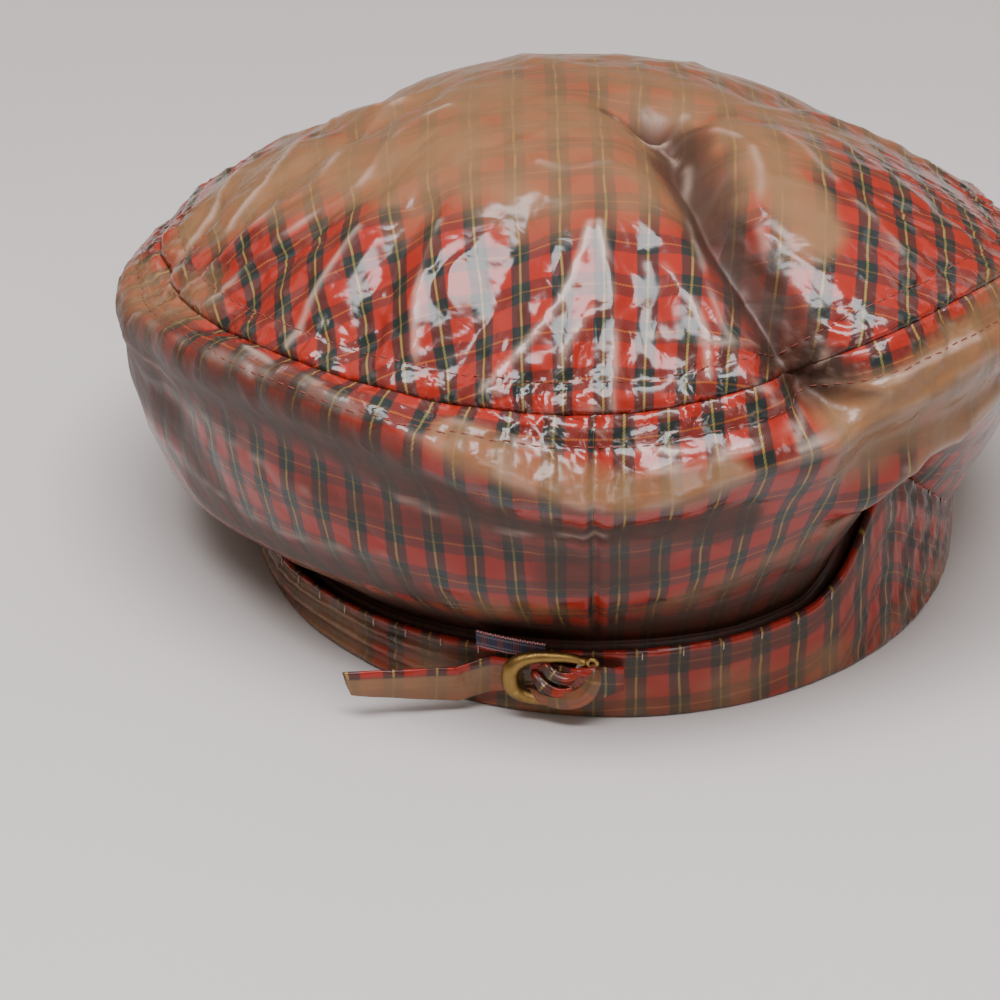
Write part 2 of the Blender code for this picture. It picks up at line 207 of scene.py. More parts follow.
# Deep folds, as the solids have them: start, middle and end, each a direction and a station,
# then depth and width as shares of FOLD_DEPTH and FOLD_WIDTH
FOLDS = {
    "valley": ((80, 0.17), (24, 0.55), (23.5, 1.30), 0.75, 1.0),
    "seam_pinch": ((20, 0.98), (23, 1.15), (27, 1.50), 0.35, 0.6),
    "top_dent": ((130, 0.10), (100, 0.18), (92, 0.26), 0.30, 0.6),
    "top_hollow_left": ((-41, 0.60), (-38, 0.80), (-35, 1.02), 0.28, 0.7),
    "top_hollow_middle": ((-17, 0.58), (-19, 0.80), (-22, 1.04), 0.30, 0.7),
    "top_hollow_right": ((6, 0.66), (4, 0.86), (2, 1.04), 0.22, 0.7),
    "left_crease": ((-110, 0.42), (-80, 0.70), (-72, 1.00), 0.26, 0.7),
    "left_short_crease": ((-60, 0.55), (-58, 0.80), (-56, 1.05), 0.24, 0.8),
    "left_end_pinch": ((-86, 0.88), (-80, 1.08), (-74, 1.35), 0.30, 0.7),
    "right_swell": ((28, 1.62), (41, 1.66), (58, 1.52), -0.45, 1.2),
    "right_hollow": ((30, 2.05), (42, 2.15), (58, 2.00), 0.45, 0.9),
    "under_ridge": ((52, 2.25), (40, 2.50), (31, 2.95), -0.38, 0.8),
    "crest_ridge_back": ((-18, 1.80), (-5, 2.05), (8, 2.02), -0.22, 0.8),
    "crest_ridge_left": ((-60, 1.66), (-42, 1.62), (-24, 1.70), -0.24, 0.9),
    "under_hollow_left": ((-66, 2.20), (-44, 2.20), (-22, 2.35), 0.30, 1.2),
    "under_hollow_back": ((-16, 2.55), (0, 2.60), (14, 2.50), 0.24, 1.2),
    "front_crease_right": ((118, 0.45), (122, 0.72), (126, 1.02), 0.26, 0.9),
    "front_crease_left": ((236, 0.50), (232, 0.75), (228, 1.04), 0.26, 0.9),
    "front_sag": ((166, 1.95), (182, 2.05), (200, 1.95), 0.25, 1.2),
}

# Sharp creases in the film and cloth: path, rise in millimetres, which is down where it is
# negative, and reach in millimetres, over which the sides slope away
CREASES = {
    "crest_left": (((-72, 1.58), (-52, 1.60), (-36, 1.54), (-22, 1.64), (-16, 1.68)), 3.0, 7.0),
    "crest_back": (((-16, 1.68), (-7, 1.90), (1, 1.98), (9, 1.88), (17, 1.82), (24, 1.80)), 3.8, 6.5),
    "fold_right": (((24, 1.82), (34, 1.70), (45, 1.56), (56, 1.54)), 1.8, 6.5),
    "ridge_right": (((56, 2.20), (48, 2.42), (40, 2.60), (32, 3.05)), 1.3, 4.5),
    "valley_left": (((84, 0.14), (30, 0.40), (15, 0.80), (20, 1.20)), 1.0, 4.0),
    "valley_right": (((76, 0.24), (33, 0.60), (27, 0.90), (25, 1.10)), 1.0, 4.0),
    "valley_floor": (
        ((70, 0.22), (39, 0.30), (24, 0.56), (21, 0.80), (23, 1.10), (26, 1.45)), -4.2, 4.2
    ),
    "dent_white": (((138, 0.08), (66, 0.13), (98, 0.24)), 0.9, 1.4),
    "left_long_a": (((-69, 1.02), (-69, 0.82), (-74, 0.60), (-114, 0.46)), 0.75, 2.2),
    "left_long_b": (((-76, 1.00), (-78, 0.84), (-90, 0.70), (-125, 0.62)), 0.65, 2.0),
    "left_long_c": (((-62, 0.98), (-62, 0.78), (-64, 0.55), (-95, 0.30)), 0.70, 2.2),
    "left_long_d": (((-81, 1.00), (-90, 0.86), (-106, 0.80)), 0.60, 2.0),
    "left_long_e": (((-56, 0.80), (-52, 0.66), (-60, 0.42)), -0.6, 3.2),
    "left_sag": (((-92, 0.50), (-112, 0.66), (-132, 0.80)), -2.8, 15.0),
    "left_tuck": (((-66, 2.40), (-84, 2.16), (-106, 2.10)), -3.2, 13.0),
    "light_left": (((-48, 0.70), (-46, 0.84), (-44, 0.98)), 0.8, 2.6),
    "light_middle": (((-34, 0.62), (-31, 0.78), (-26, 0.96)), 0.8, 2.4),
    "light_middle_low": (((-37, 0.74), (-34, 0.90), (-31, 1.0)), -0.7, 2.0),
    "triangle_left": (((-3, 0.58), (-8, 0.78), (-17, 0.97)), 0.9, 2.4),
    "triangle_right": (((-1, 0.58), (0, 0.78), (-1, 0.99)), 0.9, 1.8),
    "triangle_inner": (((-3, 0.80), (-7, 0.88), (-9, 0.99)), 0.6, 1.4),
    "right_of_back": (((9, 0.70), (12, 0.84), (11, 0.96)), 0.6, 2.4),
    "right_of_back_low": (((5, 0.86), (12, 0.90), (18, 0.92)), 0.5, 1.8),
    "top_back_a": (((-20, 0.34), (-8, 0.36), (6, 0.33)), 0.4, 3.0),
    "top_right_a": (((70, 0.45), (52, 0.62), (44, 0.86)), 0.9, 4.0),
    "top_right_b": (((84, 0.55), (66, 0.72), (58, 0.90)), 0.8, 3.4),
    "top_right_c": (((52, 0.72), (58, 0.80), (68, 0.84)), -0.7, 2.8),
    "pocket_loop_a": (((26, 1.30), (31, 1.48), (27, 1.66), (20, 1.72)), 1.1, 1.8),
    "pocket_loop_b": (((27, 1.44), (36, 1.34), (45, 1.34)), 0.9, 1.8),
    "pocket_floor": (((27, 1.55), (33, 1.60), (40, 1.52)), -1.0, 2.2),
    "side_right_a": (((18, 1.22), (22, 1.40), (20, 1.62)), 0.7, 2.0),
    "side_right_b": (((2, 1.42), (10, 1.54), (18, 1.60)), 0.5, 2.2),
    "side_right_c": (((3, 1.66), (11, 1.62), (20, 1.50)), 0.5, 2.0),
    "side_left_a": (((-20, 1.30), (-12, 1.42), (-6, 1.46)), 0.5, 1.8),
    "side_left_b": (((-48, 1.28), (-42, 1.36), (-36, 1.42)), 0.4, 1.6),
    "under_left_a": (((-74, 1.95), (-58, 2.30), (-40, 2.52)), 0.5, 4.0),
    "under_left_b": (((-62, 2.70), (-46, 2.86), (-30, 2.80)), 0.5, 4.0),
    "under_back_a": (((-30, 2.36), (-16, 2.46), (-2, 2.36)), 0.5, 3.0),
    "under_back_b": (((-8, 2.80), (2, 2.96), (10, 2.84)), -0.5, 4.0),
    "under_right_a": (((36, 2.66), (40, 2.90), (44, 3.20)), 0.9, 2.4),
    "under_right_b": (((44, 2.50), (47, 2.80), (48, 3.10)), 0.8, 2.2),
    "under_right_c": (((54, 1.90), (50, 2.20), (46, 2.34)), 0.9, 2.6),
    "hidden_a": (((100, 1.30), (118, 1.60), (140, 1.70)), 0.9, 4.0),
    "hidden_b": (((150, 1.45), (176, 1.62), (206, 1.60)), 0.9, 4.5),
    "hidden_c": (((214, 1.60), (236, 1.72), (262, 1.64)), 1.0, 5.0),
    "hidden_d": (((96, 2.30), (120, 2.50), (150, 2.40)), -0.7, 4.5),
    "hidden_e": (((190, 2.50), (220, 2.40), (250, 2.56)), -0.7, 4.5),
    "front_top_a": (((150, 0.40), (156, 0.70), (158, 0.98)), 0.9, 3.6),
    "front_top_b": (((200, 0.34), (196, 0.66), (190, 0.98)), 0.8, 3.8),
    "front_top_c": (((108, 0.50), (104, 0.76), (100, 0.98)), 0.9, 3.2),
    "front_top_d": (((250, 0.50), (248, 0.74), (252, 0.98)), 0.8, 3.2),
}

# Painted light on the film: pale strips are partly cloudy film and partly painted reflection,
# and deep strips are painted shade. Each has its tone, path, half width in millimetres and strength.
CLOUD_REFLECTION_AND_SHADE = {
    "top_left": ("pale", ((-58, 0.40), (-80, 0.58), (-92, 0.84)), 25.0, 0.95),
    "top_left_end": ("pale", ((-106, 0.30), (-122, 0.60), (-130, 0.90)), 30.0, 0.95),
    "top_front": ("pale", ((210, 0.55), (180, 0.50), (140, 0.55), (112, 0.70)), 26.0, 0.70),
    "top_apex": ("pale", ((-90, 0.16), (-30, 0.12), (40, 0.10), (100, 0.22)), 12.0, 0.80),
    "right_of_valley": ("pale", ((76, 0.34), (46, 0.50), (36, 0.74)), 9.5, 0.95),
    "top_right": ("pale", ((96, 0.40), (88, 0.62)), 13.0, 0.75),
    "crest_back": ("pale", ((-20, 1.58), (-8, 1.78), (2, 1.84), (12, 1.78)), 5.0, 0.80),
    "right_fold": ("pale", ((27, 1.58), (35, 1.56), (46, 1.42), (66, 1.36), (84, 1.40)), 9.0, 0.97),
    "right_ridge": ("pale", ((58, 2.00), (47, 2.40), (39, 2.80)), 8.5, 0.95),
    "right_side": ("pale", ((96, 1.80), (66, 2.00), (48, 2.08), (29, 1.98)), 11.0, 0.92),
    "left_end": ("pale", ((-66, 1.12), (-78, 1.40), (-88, 1.70)), 13.0, 0.75),
    "left_side": ("deep", ((-64, 2.00), (-80, 2.10), (-104, 2.10)), 12.0, 0.85),
    "left_low": ("deep", ((-84, 2.30), (-66, 2.46), (-58, 2.84)), 10.0, 0.92),
    "front_side": ("pale", ((210, 1.60), (180, 1.50), (140, 1.55), (110, 1.60)), 15.0, 0.60),
    "under_crest_left": (
        "deep", ((-84, 2.16), (-62, 2.08), (-44, 2.05), (-28, 2.12), (-14, 2.30)), 11.0, 1.0
    ),
    "under_crest_back": ("deep", ((-20, 2.22), (-6, 2.36), (6, 2.42), (15, 2.60)), 7.0, 1.0),
    "under_left": ("deep", ((-66, 2.84), (-48, 3.02), (-28, 3.16)), 9.0, 0.90),
    "under_middle": ("deep", ((-40, 2.46), (-24, 2.50), (-8, 2.52)), 5.0, 0.62),
    "under_back": ("deep", ((-7, 2.78), (3, 2.92)), 9.0, 0.75),
    "under_edge": (
        "pale", ((-60, 3.4), (-40, 3.35), (-12, 3.35), (12, 3.40), (30, 3.36), (42, 3.36)), 8.0, 0.55
    ),
    "valley": (
        "deep", ((84, 0.18), (43, 0.30), (25, 0.56), (22, 0.78), (23, 0.96), (25, 1.20)), 8.5, 1.0
    ),
    "top_dent": ("deep", ((130, 0.08), (66, 0.12)), 3.0, 0.75),
    "pocket": ("deep", ((23, 1.34), (29, 1.42)), 3.0, 0.60),
    "front_under": ("deep", ((140, 2.50), (180, 2.55), (220, 2.50), (262, 2.30)), 12.0, 0.60),
    "right_under": ("deep", ((110, 2.30), (88, 2.30), (66, 2.20)), 8.0, 0.60),
}


def bounded(value, low=0.0, high=1.0):
    """A value kept between two limits."""
    return np.clip(value, low, high)


def bell(gap, half, power=2.0):
    """1 where the gap is nothing, falling smoothly away: exp(-|gap / half| ^ power)."""
    return np.exp(-(np.abs(gap / half) ** power))


def signed_power(value, power):
    """A power of a value's size, with the value's sign."""
    return np.sign(value) * np.abs(value) ** power


def unit(vectors):
    """Vectors scaled to length one."""
    return vectors / np.maximum(np.linalg.norm(vectors, axis=-1, keepdims=True), 1e-12)


def circle(count):
    """Angles of points evenly round a circle."""
    return np.arange(count) * 2.0 * math.pi / count


def rounded_ends(count):
    """1 along a strip and 0 at its two ends, over three rows."""
    row = np.arange(count)
    return np.sqrt(bounded(np.minimum(row, row[::-1]) / 2.0))[:, None]


def arc_along(path):
    """Arc from a path's start to each of its points."""
    return np.concatenate([[0.0], np.cumsum(np.linalg.norm(np.diff(path, axis=0), axis=-1))])


def arc_round(loop, direction):
    """Arc round a closed loop, measured from the middle of the back, and its whole girth."""
    arc = arc_along(np.concatenate([loop, loop[:1]]))
    return arc[:-1] - np.interp(0.0, direction, arc[:-1]), arc[-1]


def strip_map(along, down):
    """Cloth coordinates of a strip: arc along it, and distance down from its upper edge."""
    return np.stack(np.broadcast_arrays(along, down), axis=-1)


def laid_flat(along, down):
    """Points of a strip that is laid flat, for a noise to read."""
    spread = strip_map(along, down)
    return np.concatenate([spread, 0.0 * spread[..., :1]], axis=-1)


def cubic(p, t):
    """Smooth run from the second of four values to the third: a Catmull-Rom cubic."""
    return 0.5 * (
        2.0 * p[1]
        + (p[2] - p[0]) * t
        + (2.0 * p[0] - 5.0 * p[1] + 4.0 * p[2] - p[3]) * t**2
        + (3.0 * p[1] - p[0] - 3.0 * p[2] + p[3]) * t**3
    )


def periodic_curve(values, at):
    """Smooth closed curve through equally spaced values, read at shares of one turn."""
    count = len(values)
    place = np.mod(at, 1.0) * count
    first = np.floor(place).astype(int)
    return cubic([values[(first + k) % count] for k in (-1, 0, 1, 2)], place - first)


def band_height(direction):
    """Height of the band: its rows joined by straight runs, then averaged over nine degrees."""
    angles, values = np.array(BAND_ROWS, float).T
    turn = np.mod(direction, 360.0)
    spread = np.linspace(-1.0, 1.0, 19)
    weight = 1.0 + np.cos(math.pi * spread)
    total = 0.0
    for place, share in zip(spread, weight / weight.sum()):
        total = total + share * np.interp(np.mod(turn + 4.5 * place, 360.0), angles, values)
    return BAND_HEIGHT * total


def oval(direction, out):
    """Plan point at a distance out from the band's oval, in a direction."""
    angle = np.radians(direction)
    x = (0.5 * BAND_WIDTH + out) * np.sin(angle)
    y = -(0.5 * BAND_LENGTH + out) * np.cos(angle)
    return x, y


def section(name, direction):
    """One column of the section table, read smoothly in a direction."""
    values = np.array([getattr(row, name) for row in SECTIONS])
    return periodic_curve(values, direction / 360.0)


def spline(points, stations):
    """Smooth curve through points, read at stations counted in points."""
    points = np.asarray(points)
    padded = np.concatenate([2 * points[:1] - points[1:2], points, 2 * points[-1:] - points[-2:-1]])
    first = np.clip(np.floor(stations).astype(int), 0, len(points) - 2)
    t = (stations - first).reshape(-1, *([1] * (points.ndim - 1)))
    return cubic([padded[first + k] for k in (0, 1, 2, 3)], t)


def top_rows(direction, reach):
    """Rows of the domed top panel, from the apex straight out to the seam in plan.

    Height = crown height less the seam's fall times the share of the way out to a power.
    """
    seam_x, seam_y = oval(direction, OVERHANG * section("seam_out", direction))
    seam_up = CROWN_HEIGHT * section("seam_up", direction)
    share = reach[:, None]
    x = -APEX_LEFT + share * (seam_x + APEX_LEFT)
    y = -APEX_BACK + share * (seam_y + APEX_BACK)
    fall = share ** section("dome", direction)
    up = CROWN_HEIGHT - (CROWN_HEIGHT - seam_up) * fall
    return np.stack([x, y, up], axis=-1)


def side_rows(direction, stations):
    """Rows of the side panel: a smooth curve from the seam through crest, underside, tuck and hem."""
    height = band_height(direction)
    lip = LIP_SHARE * height
    over = bell(direction - FLARE_TURN, FLARE_HALF, 4.0)
    points = []
    for name in ("seam", "crest", "under"):
        out = OVERHANG * section(name + "_out", direction)
        up = CROWN_HEIGHT * section(name + "_up", direction)
        points.append(strip_map(out, up))
    points.append(strip_map(-TUCK_IN + (TUCK_IN + FLARE_OUT) * over, height + lip * (1.0 - over)))
    points.append(strip_map(-TUCK_IN, height - lip))
    points.append(strip_map(-(BAND_CLOTH + CLEARANCE), HEM_LIFT + 0.0 * height))
    flat = spline(points, stations)
    x, y = oval(direction, flat[..., 0])
    return np.stack([x, y, flat[..., 1]], axis=-1)


def place_on_crown(direction, station):
    """Point of the plain crown at a direction and a station."""
    turn = np.array([float(direction)])
    if station <= 1.0:
        return top_rows(turn, np.array([float(station)]))[0, 0]
    return side_rows(turn, np.array([station - 1.0]))[0, 0]


def outward(points):
    """Unit normals of a grid whose rows run down and whose columns close round."""
    around = np.roll(points, -1, axis=1) - np.roll(points, 1, axis=1)
    return unit(np.cross(np.gradient(points, axis=0), around))


def crown_normals(points):
    """Normals averaged over some rows, and shared by both panels' edge rows at the seam."""
    normal = outward(points)
    for _ in range(NORMAL_ROUNDS):
        above = np.concatenate([normal[:1], normal[:-1]])
        below = np.concatenate([normal[1:], normal[-1:]])
        normal = 0.25 * above + 0.5 * normal + 0.25 * below
    normal[TOP_ROWS - 1 : TOP_ROWS + 1] = normal[TOP_ROWS - 1] + normal[TOP_ROWS]
    return unit(normal)


def distance_to_path(points, path):
    """Shortest distance from each point to a path of straight runs."""
    nearest = np.full(points.shape[:-1], np.inf)
    for start, end in zip(path[:-1], path[1:]):
        run = end - start
        share = bounded(((points - start) @ run) / (run @ run))
        gap = np.linalg.norm(points - start - share[..., None] * run, axis=-1)
        nearest = np.minimum(nearest, gap)
    return nearest


def near_path(points, path, reach, profile):
    """A profile of the distance to a path, worked out only where the path is within reach."""
    low = path.min(axis=0) - reach
    high = path.max(axis=0) + reach
    close = ((points > low) & (points < high)).all(axis=-1)
    made = np.zeros(points.shape[:-1])
    made[close] = profile(distance_to_path(points[close], path))
    return made


def lowest(values, reach):
    """Lowest value within a few rows up and down, and within a few columns."""
    for axis in (0, 1):
        kept = values
        for step in range(1, reach + 1):
            for way in (-step, step):
                moved = np.roll(values, way, axis=axis)
                if axis == 0 and way > 0:
                    moved[:way] = values[:way]
                if axis == 0 and way < 0:
                    moved[way:] = values[way:]
                kept = np.minimum(kept, moved)
        values = kept
    return values


def crease_path(stops):
    """Smooth path on the plain crown through a crease's stops."""
    ends = np.array(stops, float)
    places = spline(ends, np.linspace(0.0, len(ends) - 1.0, 6 * len(ends) - 5))
    return np.array([place_on_crown(*place) for place in places])


def column_directions():
    """Directions of the columns, denser round the back: steps in even shares of a summed density."""
    even = np.linspace(-180.0, 180.0, 7201)
    density = 1.0 + BACK_DENSITY / (1.0 + (np.abs(even + 10.0) / 90.0) ** 8)
    total = np.concatenate([[0.0], np.cumsum(0.5 * (density[1:] + density[:-1]))])
    return np.interp(np.arange(COLUMNS) / COLUMNS, total / total[-1], even)


def waves(round_way, down_way, lengths, seed, slant=0.0):
    """Sum of cosines round the head with random phases, scaled to about one.

    Each length is rounded so that a whole number of waves closes round the head.
    """
    draw = np.random.default_rng(seed)
    girth = round_way.max() - round_way.min() + np.abs(np.diff(round_way)).mean()
    total = 0.0
    for length in lengths:
        turns = max(1, round(girth / length))
        drift = slant * draw.uniform(-1.0, 1.0)
        phase = draw.uniform(0.0, 2.0 * math.pi)
        total = total + np.cos(2.0 * math.pi * turns / girth * (round_way + drift * down_way) + phase)
    return total / math.sqrt(len(lengths))


def crumple(points, length, seed, count=9):
    """Noise in space: a sum of plane waves with random directions, about one in size."""
    draw = np.random.default_rng(seed)
    total = 0.0
    for _ in range(count):
        way = unit(draw.normal(size=3))
        phase = draw.uniform(0.0, 2.0 * math.pi)
        size = length * draw.uniform(0.75, 1.35)
        total = total + np.cos(points @ way * 2.0 * math.pi / size + phase)
    return total / math.sqrt(0.5 * count)


def ridged(noise):
    """Sharp ridges along the lines where a noise crosses zero: 1 - 2 |noise|, kept in bounds."""
    return 1.0 - 2.0 * bounded(np.abs(noise))


class Crown:
    """Grid of the whole crown, with its arcs, its folds and its film's puckers."""

    def __init__(self):
        self.direction = column_directions()
        free = np.linspace(0.0, FREE_END, FREE_ROWS)
        tuck = np.linspace(FREE_END, HEM_STATION, TUCK_ROWS + 1)[1:]
        reach = np.linspace(APEX_REACH, 1.0, TOP_ROWS) ** ROW_SPREAD
        self.stations = np.concatenate([free, tuck])
        top = top_rows(self.direction, reach)
        side = side_rows(self.direction, self.stations)
        seam = side[0].copy()
        for edge, beside in ((top[-1], top[-2]), (side[0], side[1])):
            edge += SEAM_HALF_GAP * unit(beside - seam)
        self.base = np.concatenate([top, side])
        self.station = np.concatenate([reach, 1.0 + self.stations])[:, None] + 0.0 * self.direction
        self.arcs()
        offset = (self.folds() + self.puckers()) * self.free_part()
        offset[TOP_ROWS - 1] = offset[TOP_ROWS]
        normal = crown_normals(self.base)
        under = lowest(offset, INNER_STEP) - CROWN_CLOTH
        self.surface = self.base + normal * offset[..., None]
        self.lining = self.base + normal * under[..., None]

    def arcs(self):
        """Arc down each column from the seam, above it negative, and arc round the seam."""
        steps = np.linalg.norm(np.diff(self.base, axis=0), axis=-1)
        down = np.concatenate([0.0 * steps[:1], np.cumsum(steps, axis=0)])
        self.down = down - down[TOP_ROWS]
        self.round = arc_round(self.base[TOP_ROWS], self.direction)[0] + 0.0 * self.down

    def folds(self):
        """Deep folds: depth times exp(-(distance / width)^2) inwards, with even gathers at the seam."""
        offset = GATHER_DEPTH * np.cos(np.radians(self.direction) * GATHERS) * bell(self.down, GATHER_REACH)
        for *stops, depth, width in FOLDS.values():
            path = np.array([place_on_crown(*stop) for stop in stops])
            half = FOLD_WIDTH * width
            dent = near_path(self.base, path, 3.0 * half, lambda gap: bell(gap, half))
            offset -= FOLD_DEPTH * depth * dent
        return offset

    def free_part(self):
        """1 where the crown hangs free and 0 where it is tucked behind the band."""
        return bounded((4.25 - self.station) / 0.5)

    def puckers(self):
        """Creases, seam puckers, the side panel's seam and crumpled film.

        A crease is its rise times exp(-(distance / reach)), with a rounded top.
        """
        offset = self.seam_puckers() + self.back_seam() + self.film()
        for path, rise, reach in CREASES.values():
            slope = reach * MM
            line = near_path(
                self.base,
                crease_path(path),
                5.0 * slope,
                lambda gap: np.exp((CREASE_TIP - np.hypot(gap, CREASE_TIP)) / slope),
            )
            offset += rise * MM * line
        return offset

    def back_seam(self):
        """Groove of the side panel's own seam, which runs down the middle of the back."""
        aside = np.abs(self.round - np.interp(BACK_SEAM, self.direction, self.round[0]))
        groove = bell(aside, 0.9 * MM) - 0.45 * bell(aside - 2.4 * MM, 1.4 * MM)
        return -BACK_SEAM_DEPTH * groove * bounded(self.down / (2.0 * MM))

    def seam_puckers(self):
        """Irregular gathers across the seam, its groove, the raised welt and the stitch lines."""
        down = self.down
        patches = 0.55
        for middle, half, gain in PUCKER_PATCHES:
            patches = patches + gain * bell(self.direction[None, :] - middle, half)
        stray = 2.2 * MM * crumple(self.base, 16.0 * MM, 6) + 1.0 * MM * crumple(self.base, 6.0 * MM, 7)
        way = self.round + stray
        short = ridged(0.55 * waves(way, down, SHORT_PUCKERS, 3, 0.7))
        middle = ridged(0.55 * waves(way, down, MIDDLE_PUCKERS, 4, 0.6))
        long = ridged(0.6 * waves(way, down, LONG_PUCKERS, 5, 0.4))
        near = bell(down, 9.0 * MM, 2.4)
        wide = bell(down, 15.0 * MM)
        above = np.where(down < 0.0, bell(down, 36.0 * MM, 2.5), wide)
        # Sharpest pucker ridges, which get whitening with a painted highlight.
        self.sharp = patches * near * bounded((short - SHARP_RIDGE) / (1.0 - SHARP_RIDGE))
        made = 0.40 * MM * patches * short * near
        made += 0.60 * MM * patches * middle * wide
        made += 0.50 * MM * long * above
        side = np.abs(down)
        made -= 0.50 * MM * bell(side, 0.8 * MM)
        made += 0.35 * MM * bell(side - 3.2 * MM, 2.4 * MM)
        made -= 0.32 * MM * bell(side - STITCH_LINE, 0.7 * MM)
        return made

    def film(self):
        """Crumpled film: ridged noise in two sizes and plain noise in a third, less at the apex."""
        made = 0.0
        for (height, size), seed in ((FILM_LARGE, 11), (FILM_SMALL, 12)):
            made = made + height * ridged(0.6 * crumple(self.base, size, seed))
        height, size = FILM_FINE
        made = made + height * crumple(self.base, size, 13)
        calm = 0.45 + 0.55 / (1.0 + np.exp(-3.0 * crumple(self.base, FILM_CALM, 14)))
        return bounded(self.station / 0.25) * calm * made

    def cloud_reflection_and_shade(self, tone):
        """Pale gives cloudy film with painted reflection, deep gives painted shade: the largest of some
        strips with soft, uneven edges.
        """
        made = np.zeros(self.station.shape)
        uneven = 1.0 + 0.30 * crumple(self.base, 26.0 * MM, 21) + 0.14 * crumple(self.base, 9.0 * MM, 22)
        for own_tone, path, width, strength in CLOUD_REFLECTION_AND_SHADE.values():
            if own_tone == tone:
                half = width * MM
                strip = near_path(self.base, crease_path(path), 2.0 * half, lambda gap: bell(gap, half, 3.0))
                made = np.maximum(made, strength * strip)
        edge = 4.0 * (made - 0.5 * uneven) + 0.5
        made = made * bounded(0.35 + 0.65 * edge)
        # Pale: cloud and painted reflection spread over the middle of the top panel.
        if tone == "pale":
            cover = TOP_CLOUD_AND_REFLECTION * bounded((TOP_CLOUD_AND_REFLECTION_END - self.station) / 0.14 + 0.25 * uneven)
            return np.maximum(made, cover * bounded(0.55 + 0.45 * uneven, high=1.2))
        # Deep: painted shade on the tuck behind the band, left out where the right side is gathered.
        gathered = bell(self.direction - 72.0, 24.0, 4.0)
        return np.maximum(made, 0.95 * bounded((self.station - FREE_END) / 0.40) * (1.0 - gathered))

    def whitening_and_highlight(self):
        """Whitening of the film with painted highlight along its sharp creases, and along the puckers'
        ridges.
        """
        made = 0.30 * self.sharp
        for path, rise, reach in CREASES.values():
            if rise > 0.0:
                strength = min(1.0, 0.6 + 0.2 * rise) * min(1.0, 2.4 / reach)
                line = near_path(
                    self.base, crease_path(path), 3.0 * WHITE_REACH, lambda gap: bell(gap, WHITE_REACH)
                )
                made = np.maximum(made, strength * line)
        broken = bounded(0.6 + 0.7 * crumple(self.base, 12.0 * MM, 23), 0.1)
        return bounded(made * broken)

    def top_cloth(self):
        """Cloth coordinates of the top panel: arcs out from the apex, laid in their plan directions."""
        plan = self.base[:TOP_ROWS, :, :2] + (APEX_LEFT, APEX_BACK)
        out = self.down[:TOP_ROWS] - self.down[0]
        return unit(plan) * out[..., None] * (1.0, -1.0)

    def side_cloth(self):
        """Cloth coordinates of the side panel, arc round the crest and arc down, and their girth."""
        crest = self.base[TOP_ROWS + np.abs(self.stations - 1.0).argmin()]
        way, girth = arc_round(crest, self.direction)
        way = way + BACK_MISS * (self.direction > BACK_SEAM)
        return strip_map(way, self.down[TOP_ROWS:]), girth + BACK_MISS


def mesh_object(name, points, faces):
    """Smooth mesh object from points and faces, joined to the scene."""
    made = bpy.data.meshes.new(name)
    made.from_pydata(points, [], faces)
    made.update()
    made.shade_smooth()
    thing = bpy.data.objects.new(name, made)
    bpy.context.scene.collection.objects.link(thing)
    return thing


def grid_faces(rows, columns, close_rows=False):
    """Faces of a grid that closes round, four corners each, so that down x around points out."""
    row = np.arange(rows if close_rows else rows - 1)[:, None]
    col = np.arange(columns)[None, :]
    here = row * columns
    below = (row + 1) % rows * columns
    beside = (col + 1) % columns
    corners_of = [here + col, below + col, below + beside, here + beside]
    return np.stack(corners_of, axis=-1).reshape(-1, 4)


def pole_faces(rows, columns, quads):
    """Faces of a grid whose first and last rows are a point each: the body, then two fans."""
    last = (rows - 1) * columns
    body = quads[((quads >= columns) & (quads < last)).all(axis=1)]
    ring = np.arange(columns)
    beside = (ring + 1) % columns
    first_fan = np.stack([0 * ring, columns + ring, columns + beside], axis=-1)
    last_fan = np.stack([last + 0 * ring, last - columns + beside, last - columns + ring], axis=-1)
    return [body, first_fan, last_fan]


def grid_object(name, points, cloth=None, values=None, close_rows=False, poles=False, wrap=0.0):
    """Object from a grid that closes round, with its cloth map and point values.

    With poles, the first and last rows shrink to a point each. wrap is the girth that the
    cloth coordinate gains at the last column, where the grid closes.
    """
    rows, columns = points.shape[:2]
    parts = [grid_faces(rows, columns, close_rows)]
    flat = points.reshape(-1, 3).copy()
    if poles:
        parts = pole_faces(rows, columns, parts[0])
        flat[0] = points[0].mean(axis=0)
        flat[-columns] = points[-1].mean(axis=0)
    faces = sum((part.tolist() for part in parts), [])
    thing = mesh_object(name, flat + MIDDLE, faces)
    mesh = thing.data
    if cloth is not None:
        corner_list = np.concatenate([part.ravel() for part in parts])
        flat_cloth = cloth.reshape(-1, 2)[corner_list]
        if wrap:
            column = corner_list % columns
            last_face = column.reshape(-1, 4)[:, 0].repeat(4) == columns - 1
            flat_cloth[last_face & (column == 0), 0] += wrap
        layer = mesh.uv_layers.new(name="cloth")
        layer.data.foreach_set("uv", flat_cloth.astype(np.float32).ravel())
    for key, value in (values or {}).items():
        layer = mesh.attributes.new(key, "FLOAT", "POINT")
        layer.data.foreach_set("value", value.astype(np.float32).ravel())
    if poles:
        tidy_poles(mesh)
    return thing


def tidy_poles(mesh):
    """Remove the points that a pole's row no longer uses."""
    work = bmesh.new()
    work.from_mesh(mesh)
    loose = [point for point in work.verts if not point.link_faces]
    bmesh.ops.delete(work, geom=loose, context="VERTS")
    work.to_mesh(mesh)
    work.free()


